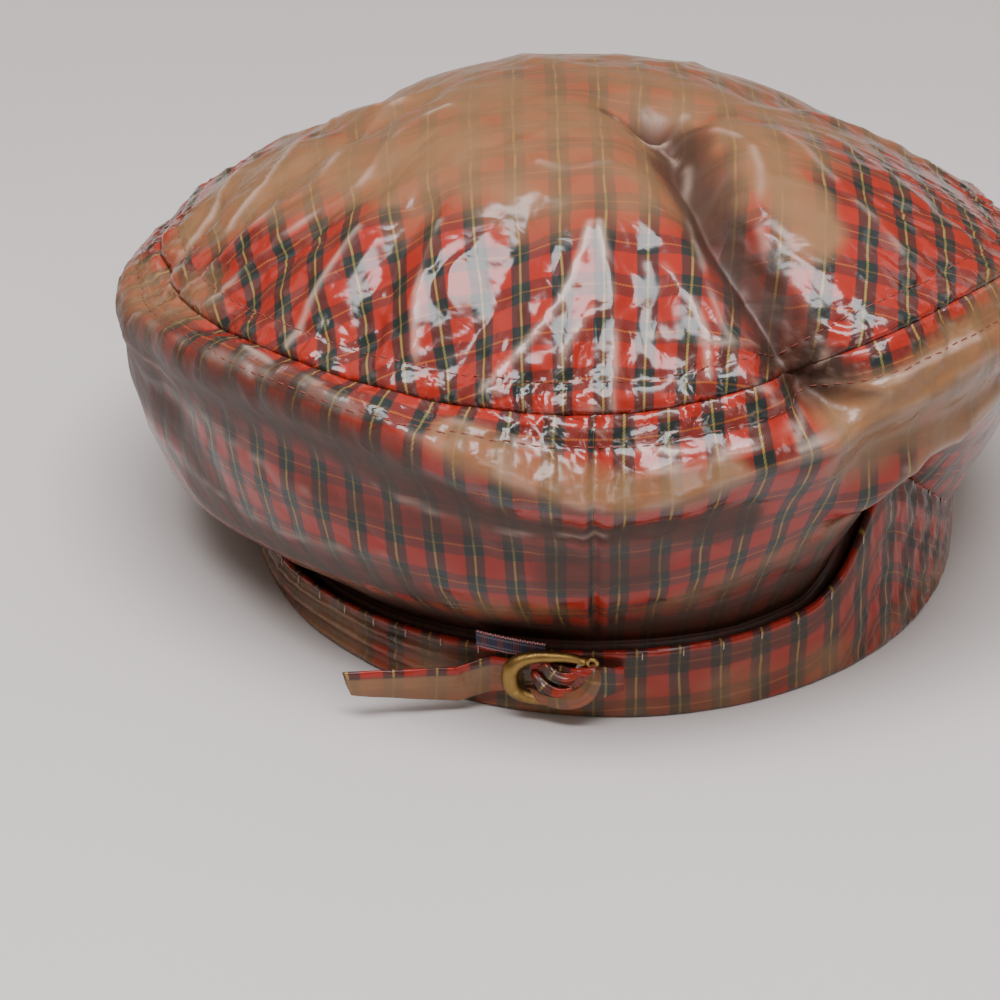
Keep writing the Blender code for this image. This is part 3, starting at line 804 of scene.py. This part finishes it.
def crown_panel(name, crown, rows, cloth, wrap=0.0):
    """One panel of the crown: its puckered outer face and a plain inner face."""
    outer = crown.surface[rows]
    count = len(outer)
    keep = np.unique(np.append(np.arange(0, count, INNER_STEP), count - 1))[::-1]
    inner = crown.lining[rows][keep]
    # pale is cloud with painted reflection, deep is painted shade, and the ridge value is whitening with
    # painted highlight.
    looks = {
        "pale": crown.cloud_reflection_and_shade("pale"),
        "deep": crown.cloud_reflection_and_shade("deep"),
        "pull": bell(crown.down, PULL_REACH),
        "ridge": crown.whitening_and_highlight(),
    }
    values = {}
    for key, look in looks.items():
        values[key] = np.concatenate([look[rows], 0.0 * look[rows][keep]])
    values["inside"] = np.repeat([0.0, 1.0], [count, len(keep)])[:, None] + np.zeros(COLUMNS)
    top = rows.start == 0
    return grid_object(
        name,
        np.concatenate([outer, inner]),
        np.concatenate([cloth, cloth[keep]]),
        values,
        close_rows=not top,
        poles=top,
        wrap=wrap,
    )


def make_crown():
    """Top panel and side panel of the crown."""
    crown = Crown()
    top = crown_panel("crown_top_panel", crown, slice(0, TOP_ROWS), crown.top_cloth())
    side_map, girth = crown.side_cloth()
    side = crown_panel("crown_side_panel", crown, slice(TOP_ROWS, None), side_map, girth)
    return crown, top, side


def band_rows(direction):
    """Cross sections of the band: outer face down and inner face up, with rounded edges."""
    height = band_height(direction)
    half = 0.5 * BAND_CLOTH
    share = 0.5 - 0.5 * np.cos(np.linspace(0.0, math.pi, 30))
    share_in = share[::-3]
    rows = []
    for part, sign in ((share, 1.0), (share_in, -1.0)):
        up = height * (1.0 - part[:, None])
        end = np.minimum(up, height - up)
        round_off = half - np.sqrt(np.maximum(half**2 - np.maximum(half - end, 0.0) ** 2, 0.0))
        out = -half + sign * (half - round_off)
        rows.append(np.stack([out, up + 0.0 * out], axis=-1))
    return np.concatenate(rows), height, len(share)


def make_band(crown):
    """Band round the head: crumpled lengthwise at the left, flat at the right."""
    direction = crown.direction
    section_rows, height, outer_count = band_rows(direction)
    out = section_rows[..., 0]
    up = section_rows[..., 1]
    way, girth = arc_round(np.stack(oval(direction, 0.0), axis=-1), direction)
    from_top = height - up
    turn = direction[None, :] + 0.0 * up
    left = 1.0 / (1.0 + np.exp((turn + 26.0) / 5.0)) / (1.0 + np.exp(-(turn + 118.0) / 6.0))
    sway = 0.9 * waves(way[None, :], up, (70.0 * MM, 110.0 * MM), 31)
    ridges = ridged(0.8 * np.sin(3.1 * math.pi * from_top / height + sway))
    small = ridged(0.6 * crumple(laid_flat(way, 2.2 * up), 13.0 * MM, 32))
    gathers = ridged(0.6 * waves(way[None, :], up, (5.0 * MM, 7.0 * MM, 9.0 * MM), 33, 0.7))
    gathers = gathers * bell(turn - 56.0, 13.0)
    face = bounded(np.minimum(up, from_top) / (2.0 * MM))
    lift = face * MM * (0.75 * left * (ridges - 0.4) + 0.14 * small + 0.7 * gathers)
    lift -= 0.16 * MM * bell(from_top - 2.6 * MM, 0.5 * MM)
    lift[outer_count:] = 0.0
    x, y = oval(turn, out + lift)
    # The lower part of the band and its crumpled left get pale cloud and painted reflection; the troughs
    # between the left's ridges and a row below the top edge get painted shade.
    lower = bounded((11.5 * MM - up) / (4.0 * MM)) * bounded(up / (0.8 * MM), 0.3)
    uneven = 0.85 + 0.3 * crumple(laid_flat(way, up), 24.0 * MM, 34)
    edge = bounded(from_top / (1.6 * MM))
    row = 0.5 * bell(from_top - 4.0 * MM, 2.3 * MM, 4.0) * (1.0 - left)
    values = {
        "pale": bounded((0.10 + 0.52 * left + 0.42 * lower) * uneven, high=0.9) * edge,
        "deep": bounded(0.55 * left * (0.5 - 0.8 * ridges) + row, high=0.8) * edge,
        "pull": 0.25 + 0.4 * left,
        "inside": (np.arange(len(out)) >= outer_count + 2)[:, None] + 0.0 * up,
    }
    cloth = strip_map(way, from_top + BAND_TOP_THREAD)
    return grid_object("band", np.stack([x, y, up], axis=-1), cloth, values, close_rows=True, wrap=girth)


def back_face(x):
    """Plan y of the band's outer face at x, near the back."""
    share = np.clip(x / (0.5 * BAND_WIDTH), -0.999, 0.999)
    return -0.5 * BAND_LENGTH * np.sqrt(1.0 - share**2)


def tube(path, radii, sides, flat=1.0, closed=True):
    """Rows of points round a path: circles in the planes across the path.

    Radii are one for each row or one for each point. The first axis of each circle is across
    the path and the +Y line, and flat squeezes the other axis.
    """
    if closed:
        ahead = unit(np.roll(path, -1, axis=0) - np.roll(path, 1, axis=0))
    else:
        ahead = unit(np.gradient(path, axis=0))
    across = unit(np.cross(ahead, (0.0, 1.0, 0.0)))[:, None]
    over = np.cross(across[:, 0], ahead)[:, None]
    turn = circle(sides)[None, :, None]
    ring = np.cos(turn) * across + flat * np.sin(turn) * over
    return path[:, None] + radii.reshape(len(path), -1, 1) * ring


def ring_wire(steps):
    """Wire of the D-shaped ring: centre line and radius, thick at -X and thin at +X."""
    turn = circle(steps)
    left_depth = 2.0 * CLEARANCE + STRAP_SLACK + STRAP_CLOTH + RING_THICK + RING_EASE
    right_depth = CLEARANCE + RING_THIN
    leftness = 0.5 - 0.5 * np.cos(turn)
    radius = RING_THIN + (RING_THICK - RING_THIN) * leftness**2
    x = RING_CENTRE + (0.5 * RING_WIDTH - radius) * signed_power(np.cos(turn), RING_SQUARE)
    z = RING_LIFT + (0.5 * RING_HEIGHT - radius) * signed_power(np.sin(turn), RING_SQUARE)
    depth = right_depth + (left_depth - right_depth) * leftness
    return np.stack([x, back_face(x) - depth, z], axis=-1), radius, turn, leftness


def make_ring():
    """Cast ring: a closed wire with a flattened, ridged thick arc, swollen under its eye."""
    path, radius, turn, leftness = ring_wire(RING_STEPS)
    swell = bell(turn - math.radians(38.0), math.radians(7.0))
    rows = tube(path, radius * (1.0 + 0.45 * swell), RING_SIDES)
    aside = np.mod(circle(RING_SIDES) + 0.38 * math.pi, 2.0 * math.pi) - math.pi
    cut = 0.12 * leftness[:, None] ** 2 * bell(aside, 0.30)[None, :]
    rows = path[:, None] + (rows - path[:, None]) * (1.0 - cut)[..., None]
    return grid_object("buckle_ring", rows, close_rows=True)


def make_ring_eye():
    """Small open eye on the ring's upper right end: a torus that faces back."""
    turn = circle(36)
    x = RING_CENTRE + 0.5 * RING_WIDTH - 0.6 * MM + EYE_RADIUS * np.cos(turn)
    z = RING_LIFT + 0.5 * RING_HEIGHT - 2.2 * MM + EYE_RADIUS * np.sin(turn)
    path = np.stack([x, back_face(x) - 3.2 * MM, z], axis=-1)
    return grid_object("buckle_eye", tube(path, EYE_WIRE + 0.0 * turn, 14), close_rows=True)


# Strap through the ring: place along X and rise off the band, as shares of the ring's half
# width and of the height at which the strap passes over the ring's right bar
STRAP_STOPS = (
    (1.63, 0.0), (1.22, 0.76), (0.89, 1.08), (0.49, 0.92), (0.05, 0.24), (-0.81, 0.0), (-1.29, 0.0),
)


def strap_line(steps):
    """Middle line of the strap in plan: through the ring, then a straight free tail."""
    right_depth = CLEARANCE + RING_THIN
    seat = CLEARANCE + STRAP_SLACK + 0.5 * STRAP_CLOTH
    over = right_depth + RING_THIN + CLEARANCE + RING_EASE + 0.5 * STRAP_CLOTH
    place, rise = np.array(STRAP_STOPS).T
    x = RING_CENTRE + 0.5 * RING_WIDTH * place
    y = back_face(x) - seat - (over - seat) * rise
    share = np.linspace(0.0, 1.0, 6)[1:]
    stops_x = np.concatenate([x, x[-1] - TAIL_LENGTH * share])
    stops_y = np.concatenate([y, y[-1] - TAIL_SWING * share])
    stops = np.stack([stops_x, stops_y], axis=-1)
    return spline(stops, np.linspace(0.0, len(stops) - 1.0, steps))


def make_strap():
    """Strap end: a flat folded strip that bunches in the ring and hangs free in a tapered tail."""
    line = strap_line(STRAP_STEPS)
    way = RING_CENTRE - line[:, 0]
    tail = bounded(way / way[-1])
    width = STRAP_WIDTH + (STRAP_TIP_WIDTH - STRAP_WIDTH) * tail**1.5
    root = bounded((way - way[0]) / (9.0 * MM))
    width = width * (0.62 + 0.38 * root * root * (3.0 - 2.0 * root))
    in_ring = bell(way, 0.5 * RING_WIDTH, 4.0)
    bunched = RING_HEIGHT - 4.0 * RING_THIN - 2.0 * STRAP_EASE
    width = (width + (np.minimum(bunched, width) - width) * in_ring)[:, None]
    hang = bounded(tail / 0.45) ** 2 * (1.0 - tail)
    lift = (RING_LIFT - TAIL_DROP * tail - TAIL_SAG * hang)[:, None]
    arc = arc_along(line)[:, None]
    tail = tail[:, None]
    turn = circle(56)
    across = np.cos(turn)[None, :]
    pleat = np.abs(np.sin(3.4 * math.pi * (across + 0.25 * np.sin(arc / (3.0 * MM)))))
    squeeze = 0.45 * MM * in_ring[:, None] * (arc < 24.0 * MM) * (pleat - 0.5)
    dent = 0.12 * MM * crumple(laid_flat(arc, 0.5 * width * across), 8.0 * MM, 41)
    bend = 0.35 * MM * bell(tail - 0.40 - 0.03 * across, 0.018)
    depth = (0.5 * STRAP_CLOTH + squeeze + dent - bend) * signed_power(np.sin(turn), 0.55)
    slant = 0.35 * bounded((tail - 0.94) / 0.06) * across * width * 0.5
    ends = rounded_ends(STRAP_STEPS)
    ahead = unit(np.gradient(line, axis=0))
    x = line[:, :1] - slant + ahead[:, 1:] * depth * ends
    y = line[:, 1:] - ahead[:, :1] * depth * ends
    z = lift + 0.5 * width * across * (0.92 + 0.08 * ends)
    from_top = 0.5 * width * (1.0 - across)
    face = bounded((from_top - 1.5 * MM) / (0.5 * MM))
    # Pale cloud and painted reflection, stronger towards the tail; no painted shade on the strap.
    pale = (0.10 + 0.68 * bounded(tail * 3.0)) * face
    values = {"pale": pale, "deep": 0.0 * pale, "pull": 0.5 + 0.0 * pale}
    cloth = strip_map(arc, from_top + BAND_TOP_THREAD)
    return grid_object("strap_end", np.stack([x, y, z], axis=-1), cloth, values, poles=True)


# Rolls of bunched strap: a path from the ring's middle, girth and distance off the band, in
# millimetres, then the share of pale cloud and painted reflection on the film
ROLLS = {
    "upper_roll": (((-1.2, 4.4), (0.6, 1.8), (3.4, 0.9), (6.0, 1.6), (7.4, 4.2)), 1.45, 4.2, 0.12),
    "lower_roll": (((-3.4, 1.0), (-0.6, -1.9), (2.8, -2.9), (6.0, -1.9), (8.6, 1.4)), 1.55, 4.6, 0.12),
    "outer_roll": (((10.4, 4.4), (9.8, 0.2), (7.2, -2.9), (2.4, -4.4), (-4.6, -4.2)), 2.0, 5.4, 0.55),
}


def make_strap_rolls():
    """Strap cloth bunched through the ring: rolls with pinched ends along curves in front of it."""
    share = np.linspace(0.0, 1.0, ROLL_STEPS)
    swell = np.sqrt(bounded(4.0 * share * (1.0 - share)))
    turn = circle(ROLL_SIDES)
    made = []
    for number, (name, (stops, radius, forward, cloud_and_reflection)) in enumerate(ROLLS.items()):
        line = spline(np.array(stops) * MM, np.linspace(0.0, len(stops) - 1.0, ROLL_STEPS))
        x = RING_CENTRE + line[:, 0]
        y = back_face(x) - forward * MM * (0.35 + 0.65 * swell)
        path = np.stack([x, y, RING_LIFT + line[:, 1]], axis=-1)
        pleats = 1.0 + 0.13 * np.cos(5.0 * turn + 2.2 * share[:, None] + number) * swell[:, None]
        girth = (radius * MM * (0.25 + 0.75 * swell))[:, None] * pleats
        girth[[0, -1]] *= 0.05
        points = tube(path, girth, ROLL_SIDES, 0.75, closed=False)
        cloth = strip_map(arc_along(path)[:, None], 1.6 * MM * (1.0 + np.cos(turn)) + 6.6 * MM)
        values = {
            "pale": cloud_and_reflection + 0.0 * girth,
            # Painted shade towards each roll's pinched ends.
            "deep": 0.35 * (1.0 - swell[:, None]) + 0.0 * girth,
            "pull": 0.8 + 0.0 * girth,
        }
        made.append(grid_object("strap_" + name, points, cloth, values, poles=True))
    return made


def make_tab():
    """Short tape on the band's top edge, with pinked edges: a zigzag added to its half width."""
    right = RING_CENTRE - TAB_INSET
    x = np.linspace(right - TAB_LENGTH, right, TAB_STEPS)
    along = (x - x[0])[:, None]
    y = back_face(x) - CLEARANCE - 0.5 * TAB_CLOTH
    low = RING_LIFT + 0.5 * STRAP_WIDTH - TAB_SINK
    turn = circle(24)
    across = np.cos(turn)[None, :]
    teeth = np.abs(np.mod(along / PINKING, 1.0) - 0.5) * 2.0
    half = 0.5 * TAB_HEIGHT * (1.0 - 0.10 * teeth)
    slope = TAB_SLOPE * (0.5 - np.linspace(0.0, 1.0, TAB_STEPS))[:, None]
    z = low + 0.5 * TAB_HEIGHT + half * across + slope
    depth = 0.5 * TAB_CLOTH * signed_power(np.sin(turn), 0.5) * rounded_ends(TAB_STEPS)
    points = np.stack([x[:, None] + 0.0 * depth, y[:, None] - depth, z], axis=-1)
    edge = np.abs(across) + 0.0 * depth
    cloth = strip_map(along, 0.5 * TAB_HEIGHT * across)
    return grid_object("ring_tape", points, cloth, {"edge": edge}, poles=True)


def stitches(name, places, ways, lifts):
    """Row of short thread bars: each a spindle of six sides along its way, raised by its lift."""
    along = np.array([-0.5, -0.38, 0.0, 0.38, 0.5]) * STITCH_LENGTH
    girth = np.array([0.02, 0.75, 1.0, 0.75, 0.02]) * STITCH_RADIUS
    turn = circle(6)[None, :, None]
    bow = 0.5 * STITCH_RADIUS * (1.0 - (2.0 * along / STITCH_LENGTH) ** 2)
    lifts = lifts[:, None]
    centre = places[:, None] + along[:, None] * ways[:, None] + bow[:, None] * lifts
    ring = np.cos(turn) * np.cross(ways[:, None], lifts) + np.sin(turn) * lifts
    points = centre[:, :, None] + girth[:, None, None] * ring[:, None]
    caps = np.array([[5, 4, 3, 2], [5, 2, 1, 0], [24, 25, 26, 27], [24, 27, 28, 29]])
    first_point = 30 * np.arange(len(places))[:, None, None]
    faces = (np.concatenate([grid_faces(5, 6), caps])[None] + first_point).reshape(-1, 4)
    return mesh_object(name, points.reshape(-1, 3) + MIDDLE, faces.tolist())


def make_seam_stitches(crown, name, offset):
    """Topstitches at an even pitch along a line at an arc offset from the crown's seam."""
    row_of = np.abs(crown.down - offset).argmin(axis=0)
    columns = np.append(np.arange(COLUMNS), 0)
    row_of = row_of[columns]
    line = crown.surface[row_of, columns]
    normal = outward(crown.surface)[row_of, columns]
    arc = arc_along(line)
    count = int(arc[-1] / STITCH_PITCH)
    at = np.arange(count) * arc[-1] / count

    def read(values, places):
        return np.stack([np.interp(places, arc, values[:, k]) for k in range(3)], axis=-1)

    places = read(line, at)
    lifts = unit(read(normal, at))
    ahead = read(line, at + 1.0 * MM) - places
    ahead -= lifts * (ahead * lifts).sum(axis=-1, keepdims=True)
    return stitches(name, places, unit(ahead), lifts)


def make_edge_stitches():
    """Short pale stitches over the folded top edge of the band, left out behind the ring."""
    turn = np.arange(-176.0, 178.0, 360.0 / EDGE_STITCHES)
    clear = np.abs(oval(turn, 0.0)[0] - RING_CENTRE) > 0.65 * RING_WIDTH
    turn = turn[clear | (np.abs(turn) > 90.0)]
    x, y = oval(turn, 0.12 * MM)
    places = np.stack([x, y, band_height(turn) - 1.3 * MM], axis=-1)
    lifts = np.stack([x / (0.5 * BAND_WIDTH) ** 2, y / (0.5 * BAND_LENGTH) ** 2, 0.0 * x], axis=-1)
    ways = np.zeros(places.shape) + (0.0, 0.0, 1.0)
    return stitches("edge_stitches", places, ways, unit(lifts))


class Value:
    """One output socket, with operators that add Math nodes."""

    def __init__(self, finish, socket):
        self.finish = finish
        self.socket = socket

    def math(self, operation, *others, clamp=False):
        inputs = {0: self}
        inputs.update({k + 1: other for k, other in enumerate(others)})
        return self.finish.node("ShaderNodeMath", {"operation": operation, "use_clamp": clamp}, inputs)

    def __add__(self, other):
        return self.math("ADD", other)

    __radd__ = __add__

    def __sub__(self, other):
        return self.math("SUBTRACT", other)

    def __rsub__(self, other):
        return self * -1.0 + other

    def __mul__(self, other):
        return self.math("MULTIPLY", other)

    __rmul__ = __mul__

    def __truediv__(self, other):
        return self.math("DIVIDE", other)

    def __abs__(self):
        return self.math("ABSOLUTE")

    def fraction(self):
        return self.math("FRACT")

    def clamped(self):
        return self.math("ADD", 0.0, clamp=True)


class Finish:
    """A material and its nodes."""

    def __init__(self, name):
        self.material = bpy.data.materials.new(name)
        self.material.use_nodes = True
        self.tree = self.material.node_tree
        self.shader = self.tree.nodes["Principled BSDF"]

    def node(self, kind, settings=None, inputs=None, output=0):
        """New node: its settings are set first, then its sockets are given values or links."""
        made = self.tree.nodes.new(kind)
        for key, value in (settings or {}).items():
            if key == "stops":
                ramp = made.color_ramp
                while len(ramp.elements) < len(value):
                    ramp.elements.new(0.5)
                for element, (place, colour) in zip(ramp.elements, value):
                    element.position = place
                    element.color = (*colour, 1.0)
            else:
                setattr(made, key, value)
        for key, value in (inputs or {}).items():
            self.give(made.inputs[key], value)
        return Value(self, made.outputs[output])

    def give(self, socket, value):
        """Link or set one socket."""
        if isinstance(value, Value):
            self.tree.links.new(value.socket, socket)
        elif isinstance(value, tuple) and len(value) == 3 and socket.type == "RGBA":
            socket.default_value = (*value, 1.0)
        else:
            socket.default_value = value

    def set(self, **values):
        """Give the shader's own sockets their values or links."""
        for key, value in values.items():
            self.give(self.shader.inputs[key.replace("_", " ")], value)

    def mix(self, first, second, share, way="MIX"):
        """Colour between two colours."""
        settings = {"data_type": "RGBA", "blend_type": way}
        return self.node("ShaderNodeMix", settings, {0: share, 6: first, 7: second}, 2)

    def noise(self, place, scale, detail=2.0, roughness=0.5, distortion=0.0):
        """Noise value at a place."""
        inputs = {"Vector": place, "Scale": scale, "Detail": detail}
        inputs.update({"Roughness": roughness, "Distortion": distortion})
        return self.node("ShaderNodeTexNoise", {}, inputs)

    def attribute(self, name):
        """A point value of the piece."""
        return self.node("ShaderNodeAttribute", {"attribute_name": name}, {}, 2)

    def place(self):
        """Object coordinates."""
        return self.node("ShaderNodeTexCoord", {}, {}, 3)

    def cloth_map(self):
        """The piece's own cloth map, in metres: its values across and along."""
        uv = self.node("ShaderNodeUVMap", {"uv_map": "cloth"})
        return [self.node("ShaderNodeSeparateXYZ", {}, {0: uv}, axis) for axis in (0, 1)]

    def bump(self, height, distance, strength=1.0):
        """Normal bent by a height."""
        return self.node("ShaderNodeBump", {}, {"Height": height, "Distance": distance, "Strength": strength})


# Colours of the cloth, of its cloudy film with painted reflection, of painted shade, of the creases'
# whitening with painted highlight, and of the cloth's back
RED = (0.30, 0.016, 0.010)
DARK = (0.008, 0.018, 0.020)
WARP_LINE = (0.50, 0.47, 0.10)
WEFT_LINE = (0.50, 0.20, 0.035)
PALE_CLOUD_AND_REFLECTION = (0.225, 0.120, 0.056)
PAINTED_SHADE_BROWN = (0.040, 0.018, 0.011)
WHITENING_AND_HIGHLIGHT_TONE = (0.66, 0.50, 0.41)
CLOTH_BACK = (0.085, 0.042, 0.034)


def threads(finish, place, line_colour, line_share):
    """One set of threads: its colour and its dark share. A thin light line runs in each dark bar."""
    from_middle = abs(place.fraction() - 0.5)
    dark = ((0.5 * DARK_SHARE - from_middle) / 0.03 + 0.5).clamped()
    line = ((0.5 * line_share - from_middle) / 0.02 + 0.5).clamped()
    return finish.mix(finish.mix(RED, DARK, dark), line_colour, line), dark


def tartan_colour(finish):
    """Tartan: warp and weft colours in a twill, with a little wander in the threads."""
    across, along = finish.cloth_map()
    wander = finish.noise(finish.place(), 60.0, 1.0) - 0.5
    u = across + 0.0016 * wander
    v = along + 0.0012 * wander
    warp, dark_warp = threads(finish, u / WARP_PITCH, WARP_LINE, LINE_SHARE)
    weft, dark_weft = threads(finish, v / WEFT_PITCH, WEFT_LINE, 0.7 * LINE_SHARE)
    twill = abs(((u + v) / THREAD).fraction() - 0.5) * 2.0
    share = 0.14 + 0.50 * twill
    colour = finish.mix(warp, weft, share)
    shade = 0.42 * dark_warp + 0.22 * dark_weft + 0.10 * twill
    return finish.mix(colour, DARK, shade)


def film_tartan(name):
    """Tartan cloth under clear film, with cloud and painted reflection, painted shade and whitening with
    painted highlight from the piece's values; plain cloth inside.
    """
    finish = Finish(name)
    colour = tartan_colour(finish)
    place = finish.place()
    pale = finish.attribute("pale")
    deep = finish.attribute("deep")
    pull = finish.attribute("pull")
    inside = finish.attribute("inside")
    streak = finish.noise(place, 34.0, 2.0, 0.6, 0.8)
    thin = (abs(streak - 0.5) * 2.2).clamped()
    cloud_and_reflection = (pale * (1.12 - 0.55 * thin)).clamped()
    painted_shade = (deep * (1.10 - 0.35 * thin)).clamped()
    # Cloud with painted reflection, then painted shade, then whitening with painted highlight along the
    # ridges.
    with_painted_light = finish.mix(colour, PALE_CLOUD_AND_REFLECTION, 0.90 * cloud_and_reflection + 0.04)
    with_painted_light = finish.mix(with_painted_light, PAINTED_SHADE_BROWN, 0.90 * painted_shade)
    with_painted_light = finish.mix(with_painted_light, WHITENING_AND_HIGHLIGHT_TONE, 0.50 * finish.attribute("ridge"))
    lining = finish.mix(colour, CLOTH_BACK, 0.62)
    base = finish.mix(with_painted_light, lining, inside)
    fold = abs(finish.noise(place, 52.0, 1.0, 0.5, 0.3) - 0.5)
    crease = abs(finish.noise(place, 130.0, 2.0, 0.5, 0.5) - 0.5)
    height = fold * 1.5 + crease * (0.45 + 0.75 * pull)
    rough = 0.155 + 0.10 * cloud_and_reflection + 0.08 * thin + 0.34 * painted_shade
    finish.set(
        Base_Color=base,
        Roughness=rough + 0.5 * inside,
        Normal=finish.bump(height, 0.001, 0.8),
        IOR=1.44,
    )
    return finish.material


def aged_brass():
    """Cast brass: bright where rubbed, brown in its hollows, with fine scratches."""
    finish = Finish("aged_brass")
    place = finish.place()
    grime = finish.noise(place, 420.0, 4.0, 0.65)
    wear = finish.node("ShaderNodeNewGeometry", {}, {}, 7)
    edge = ((wear - 0.50) * 12.0 + 0.45 + (grime - 0.5)).clamped()
    colour = finish.mix((0.075, 0.045, 0.018), (0.40, 0.26, 0.085), edge)
    spots = finish.mix(colour, (0.05, 0.035, 0.02), (3.0 * grime - 1.75).clamped())
    scratch = finish.noise(place, 1500.0, 2.0, 0.5, 1.5)
    finish.set(
        Base_Color=spots,
        Metallic=1.0,
        Roughness=0.24 + 0.3 * grime,
        Normal=finish.bump(grime + 0.4 * scratch, 0.00025, 0.6),
    )
    return finish.material


def woven_tape():
    """Narrow woven tape: navy with dark red bars and pink cut edges."""
    finish = Finish("woven_tape")
    across, along = finish.cloth_map()
    edge = finish.attribute("edge")
    bars = ((0.16 - abs((across / 0.0036).fraction() - 0.5)) / 0.06 + 0.5).clamped()
    line = ((0.10 - abs((along / 0.0021).fraction() - 0.5)) / 0.05 + 0.5).clamped()
    body = finish.mix((0.020, 0.022, 0.060), (0.10, 0.022, 0.035), bars)
    body = finish.mix(body, (0.22, 0.20, 0.20), 0.45 * line)
    ribs = abs((across / 0.00055).fraction() - 0.5) * 2.0
    rim = ((edge - 0.80) / 0.08).clamped()
    pink = finish.mix((0.30, 0.04, 0.05), (0.75, 0.48, 0.50), ribs)
    finish.set(
        Base_Color=finish.mix(body, pink, rim),
        Roughness=0.62,
        Normal=finish.bump(ribs, 0.0002, 0.7),
    )
    return finish.material


def sewing_thread(name, low, high):
    """Thread with a fine twist, from one colour to another."""
    finish = Finish(name)
    place = finish.place()
    fuzz = finish.noise(place, 3000.0, 2.0)
    finish.set(
        Base_Color=finish.mix(low, high, fuzz),
        Roughness=0.5,
        Normal=finish.bump(fuzz, 0.0001, 0.5),
    )
    return finish.material


def pale_floor():
    """Plain pale floor with a faint unevenness."""
    finish = Finish("pale_floor")
    patch = finish.noise(finish.place(), 6.0, 2.0)
    finish.set(
        Base_Color=finish.mix((0.53, 0.52, 0.51), (0.57, 0.56, 0.55), patch),
        Roughness=0.6,
    )
    return finish.material


# Camera: the photograph's view, from behind and above
VIEW_RISE = 27.0
VIEW_DISTANCE = 900.0 * MM
VIEW_TARGET = np.array([-25.6, 0.0, 4.0]) * MM + MIDDLE
SENSOR = 36.0
FOCAL = 130.75


def make_camera():
    """Camera at the photograph's angle, looking at the middle of its frame."""
    rise = math.radians(VIEW_RISE)
    back = np.array([0.0, -math.cos(rise), math.sin(rise)])
    data = bpy.data.cameras.new("view")
    data.sensor_width = SENSOR
    data.lens = FOCAL
    data.clip_start = 0.05
    data.clip_end = 50.0
    camera = bpy.data.objects.new("view", data)
    camera.location = VIEW_TARGET + VIEW_DISTANCE * back
    camera.rotation_euler = (math.radians(90.0 - VIEW_RISE), 0.0, 0.0)
    bpy.context.scene.collection.objects.link(camera)
    bpy.context.scene.camera = camera


def area_light(name, place, target, width, depth, power, colour=(1.0, 1.0, 1.0)):
    """Soft rectangular light that faces a point."""
    data = bpy.data.lights.new(name, "AREA")
    data.shape = "RECTANGLE"
    data.size = width
    data.size_y = depth
    data.energy = power
    data.color = colour
    light = bpy.data.objects.new(name, data)
    light.location = place
    way = Vector(target) - Vector(place)
    light.rotation_euler = way.to_track_quat("-Z", "Y").to_euler()
    bpy.context.scene.collection.objects.link(light)


def make_surround():
    """Surround that is brown at the horizon and pale overhead: a ramp over the sine of height."""
    world = bpy.data.worlds.new("surround")
    world.use_nodes = True
    tree = world.node_tree
    place = tree.nodes.new("ShaderNodeTexCoord")
    split = tree.nodes.new("ShaderNodeSeparateXYZ")
    ramp = tree.nodes.new("ShaderNodeValToRGB")
    tones = ((0.0, (0.24, 0.175, 0.125)), (0.45, (0.21, 0.155, 0.115)), (0.85, (0.60, 0.55, 0.53)))
    ramp.color_ramp.elements.new(0.5)
    for element, (height, tone) in zip(ramp.color_ramp.elements, tones):
        element.position = height
        element.color = (*tone, 1.0)
    tree.links.new(place.outputs["Generated"], split.inputs[0])
    tree.links.new(split.outputs[2], ramp.inputs[0])
    tree.links.new(ramp.outputs[0], tree.nodes["Background"].inputs["Color"])
    bpy.context.scene.world = world


def make_light():
    """Soft overhead light behind the camera, and a weaker one from each side."""
    aim = (0.0, 0.0, 0.06)
    area_light("overhead", (-0.08, -0.42, 1.15), aim, 0.95, 0.55, 27.0, (1.0, 0.95, 0.97))
    area_light("rear_fill", (0.50, -1.6, 1.10), aim, 0.5, 0.35, 4.0, (1.0, 0.92, 0.90))
    area_light("left_fill", (-1.5, 0.7, 1.3), aim, 0.9, 0.9, 1.5)
    area_light("right_fill", (1.5, 0.7, 1.3), aim, 0.9, 0.9, 3.0)


def make_floor():
    """Round plain floor under the cap."""
    turn = circle(96)
    radii = np.array([0.5, 2.0, 6.0])[:, None]
    points = np.stack([radii * np.sin(turn), -radii * np.cos(turn), 0.0 * radii * turn], axis=-1)
    floor = mesh_object("floor", points.reshape(-1, 3), [list(range(96))] + grid_faces(3, 96).tolist())
    floor.data.materials.append(pale_floor())


def dress(piece, material, slot, *nodes):
    """Give a piece its material and its body, and hide the nodes that it stands for. The slot argument is not
    used.
    """
    piece.data.materials.append(material)
    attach(piece, "root")
    if nodes:
        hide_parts(*nodes)


make_camera()
make_surround()
make_light()
make_floor()
crown, crown_top, crown_side = make_crown()
tartan = film_tartan("film_tartan")
dress(crown_top, tartan, "tartan_film", "crown_top")
dress(crown_side, tartan, "tartan_film", "crown_side")
dress(make_band(crown), tartan, "tartan_film", "head_band")
dress(make_strap(), tartan, "tartan_film", "strap_tail")
for roll in make_strap_rolls():
    dress(roll, tartan, "tartan_film")
dress(make_tab(), woven_tape(), "tartan_film", "ring_tab")
brass = aged_brass()
dress(make_ring(), brass, "brass", "ring_buckle")
dress(make_ring_eye(), brass, "brass")
thread = sewing_thread("sewing_thread", (0.11, 0.018, 0.014), (0.26, 0.07, 0.05))
pale_thread = sewing_thread("pale_thread", (0.34, 0.26, 0.22), (0.55, 0.46, 0.42))
dress(make_edge_stitches(), pale_thread, "tartan_film")
dress(make_seam_stitches(crown, "stitches_above_seam", -STITCH_LINE), thread, "tartan_film")
dress(make_seam_stitches(crown, "stitches_below_seam", STITCH_LINE), thread, "tartan_film")
